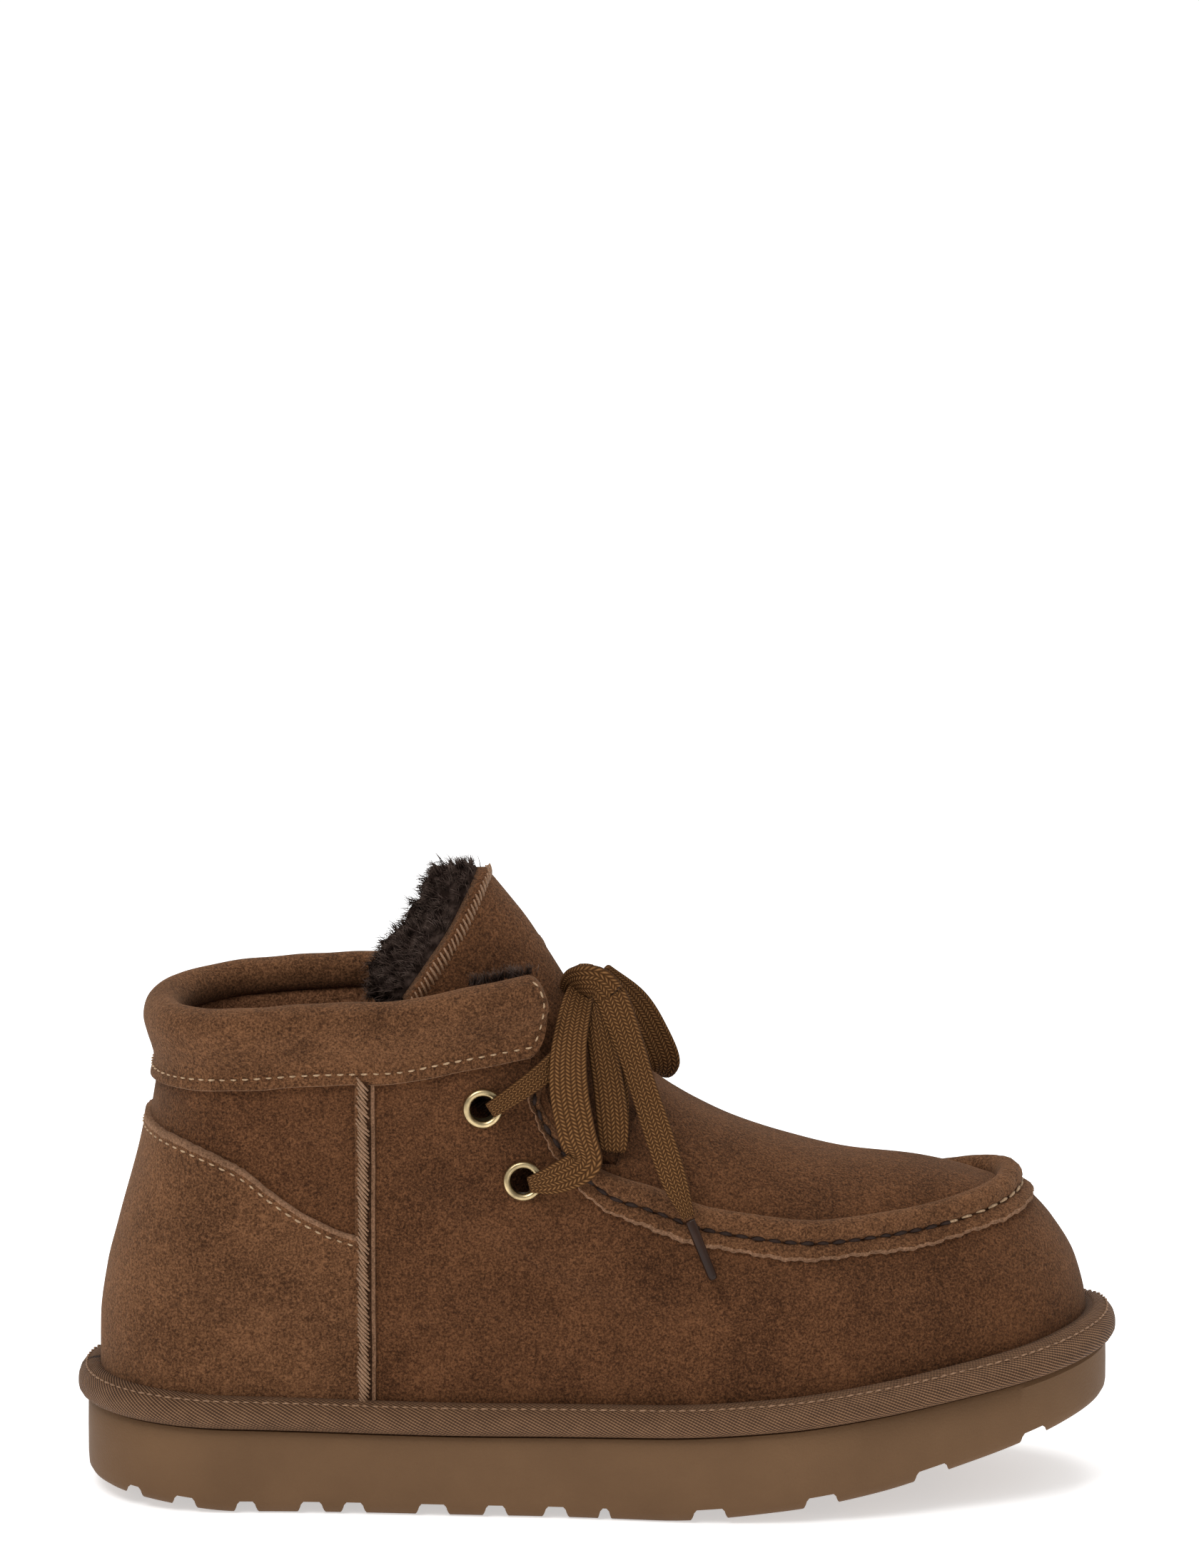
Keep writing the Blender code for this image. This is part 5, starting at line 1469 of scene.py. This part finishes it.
# Painted shade: this near-black suede stands for the shade in the rolled seam's groove and between the side
# ribs' threads.
SUEDE_PAINTED_SHADE = suede("suede_painted_shade", (0.034, 0.014, 0.006), sheen=0.05)
SUEDE_EDGE = suede("suede_raw_edge", (0.200, 0.105, 0.058), sheen=0.2, contrast=0.6)
RUBBER = rubber("moulded_rubber")
LACE = lace_cloth("woven_lace")
TWILL = twill("twill_tape")
BRASS = plain("antique_brass", (0.52, 0.40, 0.22), 0.30, metal=1.0, shine=0.5, grain=300, depth=0.00003)
AGLET = plain("lace_tip", (0.024, 0.009, 0.004), 0.36, shine=0.22, grain=120, depth=0.00002)
# Painted shade: the wool's dark root colour, also on the bare pad and footbed.
FLEECE_PAINTED_ROOT_SHADE = wool("sheepskin")
THREAD_CREAM = plain("thread_cream", (0.40, 0.265, 0.155), 0.6)
THREAD_TAN = plain("thread_tan", (0.250, 0.142, 0.080), 0.5)
# Painted shade: near-black thread for the rolled seam's side stitches, where they sink into the groove.
THREAD_PAINTED_SHADE = plain("thread_painted_shade", (0.022, 0.010, 0.006), 0.8)
print(len(bpy.data.materials), "finishes")

# %% [markdown]
# Rows of stitches follow the pieces' own edges. A maker's machine keeps one stitch length along a seam,
# and the thick hand stitches of the rolled seam lie further apart than the rest.

# %% Stitch rows
FINE = (0.0017, 0.00030)  # length and radius of a fine stitch
COLLAR_PITCH = 0.0032


def both_sides(turn, z):
    """A line round the heel, from one on the outer side that starts in the heel's middle."""
    return np.concatenate([turn[::-1], 2 - turn[1:]]), np.concatenate([z[::-1], z[1:]])


def wall_row(name, turns, z, out, *stitch, **more):
    """A row of stitches along a line over the wall."""
    return stitch_row(name, wall(turns, z, out), wall_normal(turns, z), *stitch, **more)


def collar_surface(place, depth):
    """How far out the collar stands at a place and a share of its height below the crest."""
    near = np.clip((place - (COLLAR_FRONT - COLLAR_CORNER)) / COLLAR_CORNER, 0, 0.999)
    size = np.sqrt(1 - near**2)
    section = spline([(o, d, 0.0) for o, d in COLLAR_OUT[1:11]], 60)
    down = np.clip(0.45 + (depth - 0.45) / size, 0, 1)
    out = np.interp(down, section[::-1, 1], section[::-1, 0])
    return 0.0003 + (out - 0.0003) * (0.45 + 0.55 * size)


places = (COLLAR_FRONT - COLLAR_CORNER) * (1 - np.cos(np.linspace(0, math.pi / 2, 700)))
z = COLLAR_TOP + crown_at(places) - 0.86 * COLLAR_HEIGHT
turns, heights = both_sides(collar_turn(places, z), z)
rows = [wall_row("collar_stitches", turns, heights, 0.0017, COLLAR_PITCH, *FINE, THREAD_CREAM)]

# %% [markdown]
# At each front end the stitching turns up round the collar's rounded corner and lies on the soft roll,
# so its line is lifted by as much as the roll stands out there.

# %% Stitches round the collar's ends
angle = np.linspace(0.05, 2.75, 160)
places = COLLAR_FRONT - COLLAR_CORNER + (COLLAR_CORNER - 0.0075) * np.sin(angle)
depth = 0.45 + 0.41 * np.cos(angle)
z = COLLAR_TOP + crown_at(places) - depth * COLLAR_HEIGHT
out = collar_surface(places, depth) + 0.0003
turn = collar_turn(places, z)
for label, turns in {"outer": turn, "inner": 2 - turn}.items():
    rows.append(wall_row(f"collar_end_{label}", turns, z, out, COLLAR_PITCH, *FINE, THREAD_CREAM))

# %% [markdown]
# The tape is sewn down near its upper edge, right round the boot. The counter is sewn just below its cut
# edge, from one side seam round the heel to the other.

# %% Binding and counter stitches
edge = outline(-BINDING_BULGE * 0.12, lambda a: sole_top(a) + SEAT + BINDING_HEIGHT * 0.90)
ahead = np.roll(edge, -1, axis=0) - np.roll(edge, 1, axis=0)
edge_out = unit(unit(np.cross(ahead, [0.0, 0.0, 1.0])) + [0, 0, 0.6])
rows.append(stitch_row("binding_stitches", edge, edge_out, 0.0027, 0.0020, 0.00030, THREAD_TAN))

places = SIDE_SEAM_AT * 0.985 * (1 - np.cos(np.linspace(0, math.pi / 2, 500)))
z = counter_at(places) * COLLAR_TOP - 0.0028
turns, heights = both_sides(heel_turns(places, z, SIDE_SEAM_AT), z)
rows.append(wall_row("counter_stitches", turns, heights, COUNTER_THICKNESS + 0.0001,
                     0.0031, *FINE, THREAD_CREAM))

# %% [markdown]
# Thick thread crosses the rolled seam's groove. Along the sides, where it sinks into the groove, its stitches
# are painted dark as shade, and round the toe, where the seam faces up, they keep the pale thread. The ribs
# are covered by thread laid slantwise, turn by turn.

# %% Stitches of the rolled seam and the ribs
stations = seam_stations(0.002)
centre, out, up = seam_frames(stations)
line = centre + out * 0.0013 + up * 0.0002
along = (1 - np.cos(math.pi * stations[:, 0])) / 2
toe_part = (along > 0.90) | ((stations[:, 0] > 1) & (along > 0.80))
first, last = np.flatnonzero(toe_part)[[0, -1]]
# The sides' stitches take the near-black thread as painted shade, and the toe's keep the cream thread.
for label, part, thread, size in (("outer", slice(0, first), THREAD_PAINTED_SHADE, 0.00062),
                                  ("toe", slice(first, last), THREAD_CREAM, 0.00050),
                                  ("inner", slice(last, None), THREAD_PAINTED_SHADE, 0.00062)):
    rows.append(stitch_row(f"seam_stitches_{label}", line[part], out[part], SEAM_PITCH * 0.6, 0.0034, size,
                           thread, scatter=0.15))

z = np.linspace(float(sole_top(SIDE_SEAM_AT)) + BINDING_HEIGHT * 0.9,
                COLLAR_TOP + float(crown_at(SIDE_SEAM_AT)) - COLLAR_HEIGHT, 200)
for label in ("outer", "inner"):
    turn = turn_of(body_along(SIDE_SEAM_AT, z), label == "inner")
    line = strip_point(label == "inner", z, -0.0005, 0.0023)
    rows.append(stitch_row(f"rib_threads_{label}", line, wall_normal(turn, z), 0.00125, 0.0048, 0.00042,
                           THREAD_TAN, slant=0.68, scatter=0.10))

# %% [markdown]
# The tongue's raw top edge is whipped over with thread, in slanting stitches close together.

# %% Stitches of the tongue
across = np.linspace(-1, 1, 400)
edge = tongue_point(across, tongue_top(across) - 0.0011, -0.0003)
edge_out = unit(np.cross(np.gradient(edge, axis=0), [0.0, 0.0, 1.0]))
rows.append(stitch_row("tongue_stitches", edge, edge_out, 0.0016, 0.0046, 0.00040, THREAD_TAN,
                       slant=1.15, scatter=0.12))

# %% [markdown]
# ## Fleece
# Sheepskin is thousands of crimped hairs in small locks. One lock is nine thin bent blades. Geometry
# Nodes scatters it over the pad behind the tongue, turned and scaled at random with a fixed seed.

# %% Fleece tufts
LOCK_SHARES = (0.0, 0.4, 0.75, 1.0)  # where a blade has its points, from root to tip
LOCK_TILT, LOCK_SPIN = 0.35, 6.283


def lock_shape(name, blades=9, height=0.0036, seed=3):
    rng = np.random.default_rng(seed)
    points, faces = [], []
    for _ in range(blades):
        angle, lean = rng.uniform(0, 2 * math.pi), rng.uniform(0.15, 0.8)
        root = rng.normal(0, 0.0006, 2)
        width = rng.uniform(0.00010, 0.00018)
        tall = height * rng.uniform(0.6, 1.1)
        curl = rng.uniform(-1.6, 1.6)
        base = len(points)
        for k, share in enumerate(LOCK_SHARES):
            bend = lean * share**1.4 * tall
            spin = angle + curl * share * 2
            x, y = root[0] + math.cos(spin) * bend, root[1] + math.sin(spin) * bend
            z = tall * (share - 0.25 * lean * share**2)
            w = width * (1 - 0.85 * share)
            points += [(x - math.sin(spin) * w, y + math.cos(spin) * w, z),
                       (x + math.sin(spin) * w, y - math.cos(spin) * w, z)]
            if k:
                faces.append((base + 2 * k - 2, base + 2 * k - 1, base + 2 * k + 1, base + 2 * k))
    lock = new_object(name, points, faces)
    # The tip share is what the wool finish uses to paint shade at the roots.
    tip = lock.data.attributes.new("tip", "FLOAT", "POINT")
    tip.data.foreach_set("value", np.tile(np.repeat(LOCK_SHARES, 2), blades))
    return lock

# %% [markdown]
# The locks stand out from the pad wherever the tree finds a point on it, and lean any way at random.
# The seed is fixed, so every run grows the same wool.

# %% The tree for wool
def fleece_tree():
    tree, sockets, nodes = start_tree("fleece_locks", {"Density": "NodeSocketFloat"}, {
        "scatter": "GeometryNodeDistributePointsOnFaces", "spin": "FunctionNodeRandomValue",
    }, (0.75, 1.25))
    nodes["spin"].data_type = "FLOAT_VECTOR"
    nodes["spin"].inputs[0].default_value = (-LOCK_TILT, -LOCK_TILT, 0.0)
    nodes["spin"].inputs[1].default_value = (LOCK_TILT, LOCK_TILT, LOCK_SPIN)
    wire(tree, nodes, (
        ("given", "Geometry", "scatter", "Mesh"), ("given", "Density", "scatter", "Density"),
        ("given", "Seed", "scatter", "Seed"), ("given", "Seed", "spin", "Seed"),
        ("scatter", "Points", "place", "Points"), ("scatter", "Rotation", "turn", 0),
        ("spin", 0, "slant", 0),
    ))
    return tree, sockets


FLEECE_TREE = fleece_tree()


def grow_fleece(name, ground, density, seed):
    """Locks over a ground that is then dropped."""
    locks = bpy.data.objects.new(name, ground.data)
    bpy.context.scene.collection.objects.link(locks)
    bpy.data.objects.remove(ground)
    run_tree(locks, FLEECE_TREE, {
        "Density": density, "Seed": seed, "Shape": lock_shape(name + "_lock"), "Finish": FLEECE_PAINTED_ROOT_SHADE,
    })
    return locks


def rear_only(pad, rows):
    """The pad's back, top and sides, without the face that lies against the suede."""
    count = 2 * (rows + 1)
    ground = bpy.data.objects.new("ground", pad.data.copy())
    shape = bmesh.new()
    shape.from_mesh(ground.data)
    front = [face for face in shape.faces if all(vert.index % count <= rows for vert in face.verts)]
    bmesh.ops.delete(shape, geom=front, context="FACES")
    shape.to_mesh(ground.data)
    shape.free()
    return ground


tongue_locks = grow_fleece("tongue_locks", rear_only(fleece, PAD_ROWS), 380000.0, 5)

# %% [markdown]
# The lining's wool also shows as a little fuzz where the collar's front ends meet the tongue.

# %% Fuzz at the collar's front
def fuzz_ground(inner):
    places = np.linspace(0.365, 0.440, 12)
    points = []
    for place in places:
        z = COLLAR_TOP + float(crown_at(place)) - 0.0012
        turn = float(collar_turn(place, z))
        points.append([wall(2 - turn if inner else turn, z, out) for out in (-0.0092, -0.0056)])
    faces = grid_faces(len(places), 2)
    ground = new_object("fuzz_ground", points, faces)
    if ground.data.polygons[0].normal.z < 0:
        ground.data.flip_normals()
    return ground


collar_fuzz = []
for side in ("outer", "inner"):
    collar_fuzz.append(grow_fleece(f"collar_fuzz_{side}", fuzz_ground(side == "inner"), 700000.0, 9))

# %% [markdown]
# ## Dressing and riding
# Each piece takes its finish, rides on the one body and hides the CAD nodes it stands for. Raw edges and the
# lining then get finishes of their own, and the grooves get near-black suede as painted shade.

# %% Dress the pieces
SEAM_POINTS = 22  # round the rolled seam's section
LINING_FOOT = 0.035  # the lining is painted above this height
INSIDE_X = 0.06  # a place inside the boot, which the lining faces


def dress(piece, finish, slot, *nodes):
    piece.data.materials.clear()
    piece.data.materials.append(finish)
    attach(piece, "root")
    if nodes:
        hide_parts(*nodes)


def paint_columns(piece, count, columns, finish):
    """Gives the faces along chosen columns of a swept piece their own finish."""
    piece.data.materials.append(finish)
    for face in piece.data.polygons:
        if all(vertex % count in columns for vertex in face.vertices):
            face.material_index = len(piece.data.materials) - 1


dress(upper, SUEDE, "suede", "upper")
upper.data.materials.append(LINING)
for face in upper.data.polygons:
    centre, facing = face.center, face.normal
    if centre.z > LINING_FOOT and facing.y * centre.y + facing.x * (centre.x - INSIDE_X) * 0.3 < 0:
        face.material_index = 1
dress(collar, SUEDE_LIGHT, "suede", "collar")
paint_columns(collar, COLLAR_COLUMNS, {COLLAR_COLUMNS - 1, *range(5)}, SUEDE_EDGE)
dress(moc_seam, SUEDE_LIGHT, "suede", "moc_seam")
paint_columns(moc_seam, SEAM_POINTS, {0, 1, 2}, SUEDE_EDGE)
# The groove's faces are painted near black as shade.
paint_columns(moc_seam, SEAM_POINTS, {5, 6}, SUEDE_PAINTED_SHADE)
dress(counter, SUEDE_LIGHT, "suede", "heel_counter")
paint_columns(counter, 2 * (COUNTER_ROWS + 1), range(COUNTER_ROWS - 1, COUNTER_ROWS + 3), SUEDE_EDGE)
for side, strip in side_strips.items():
    dress(strip, SUEDE_LIGHT, "suede", f"side_seam_{side}")
    # The strip's middle, between the slanted threads, is painted near black as shade.
    paint_columns(strip, len(STRIP_SECTION), range(3, 10), SUEDE_PAINTED_SHADE)
    paint_columns(strip, len(STRIP_SECTION), range(9, 12), SUEDE_EDGE)
dress(tongue, SUEDE, "suede", "tongue")
# The pad has no tip share, so it is painted the dark root colour all over, as shade.
dress(fleece, FLEECE_PAINTED_ROOT_SHADE, "fleece", "tongue_fleece")
for locks in (tongue_locks, *collar_fuzz):
    dress(locks, FLEECE_PAINTED_ROOT_SHADE, "fleece")
dress(outsole, RUBBER, "rubber", "outsole")
dress(binding, TWILL, "binding", "binding")
# The footbed, too, is painted the dark root colour all over, as shade.
dress(footbed, FLEECE_PAINTED_ROOT_SHADE, "fleece", "insole")
for node, piece in eyelets.items():
    dress(piece, BRASS, "brass", node)
for row, thread in rows:
    dress(row, thread, "lace")
for piece in bars:
    dress(piece, LACE, "lace")
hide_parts("lace_bars")
for name, (piece, path, length) in lace_pieces.items():
    dress(piece, LACE, "lace", f"lace_{name}")
dress(knot, LACE, "lace", "lace_knot")
for name, piece in aglets.items():
    piece.name = name + "_tip"
    dress(piece, AGLET, "aglet", name)
print("dressed")

# %% [markdown]
# The bow's loops and ends hang free along the paths they were swept on, and the two ends carry their aglets.
# The collar's roll and the sheepskin are soft pads. This cell only prints how many free lace runs there are.

# %% Soft pieces
print(len(lace_pieces), "cords and 2 pads")

# %% [markdown]
# ## Floor and light
# The boot stands on a plain white floor under wide soft light, brightest from above and the front.

# %% Stage
FLOOR_REACH = 20.0
LIGHT_AIM = Vector((0.08, 0, 0.06))


def make_stage():
    corners = [(x * FLOOR_REACH, y * FLOOR_REACH, 0) for x, y in ((-1, -1), (1, -1), (1, 1), (-1, 1))]
    floor = new_object("floor", corners, [(0, 1, 2, 3)], smooth=False)
    finish = Finish("floor_white", 0.9, 0.1)
    finish.set_all({"Base Color": (0.92, 0.92, 0.92, 1), "Emission Color": (1.0, 1.0, 1.0, 1),
                    "Emission Strength": 0.5})
    floor.data.materials.append(finish.material)
    world = bpy.data.worlds.new("studio")
    bpy.context.scene.world = world
    world.use_nodes = True
    background = world.node_tree.nodes["Background"]
    background.inputs["Color"].default_value = (1.0, 1.0, 1.0, 1)
    background.inputs["Strength"].default_value = 0.55


def soft_light(name, place, power, size=0.8):
    data = bpy.data.lights.new(name, "AREA")
    data.shape, data.size, data.energy = "SQUARE", size, power
    light = bpy.data.objects.new(name, data)
    bpy.context.scene.collection.objects.link(light)
    light.location = place
    light.rotation_euler = (LIGHT_AIM - Vector(place)).to_track_quat("-Z", "Y").to_euler()


make_stage()
soft_light("key", (-0.5, -1.0, 1.5), 14.0)
soft_light("top", (0.3, 0.5, 1.6), 10.0)
bpy.context.scene.view_settings.view_transform = "Standard"
print("stage set")
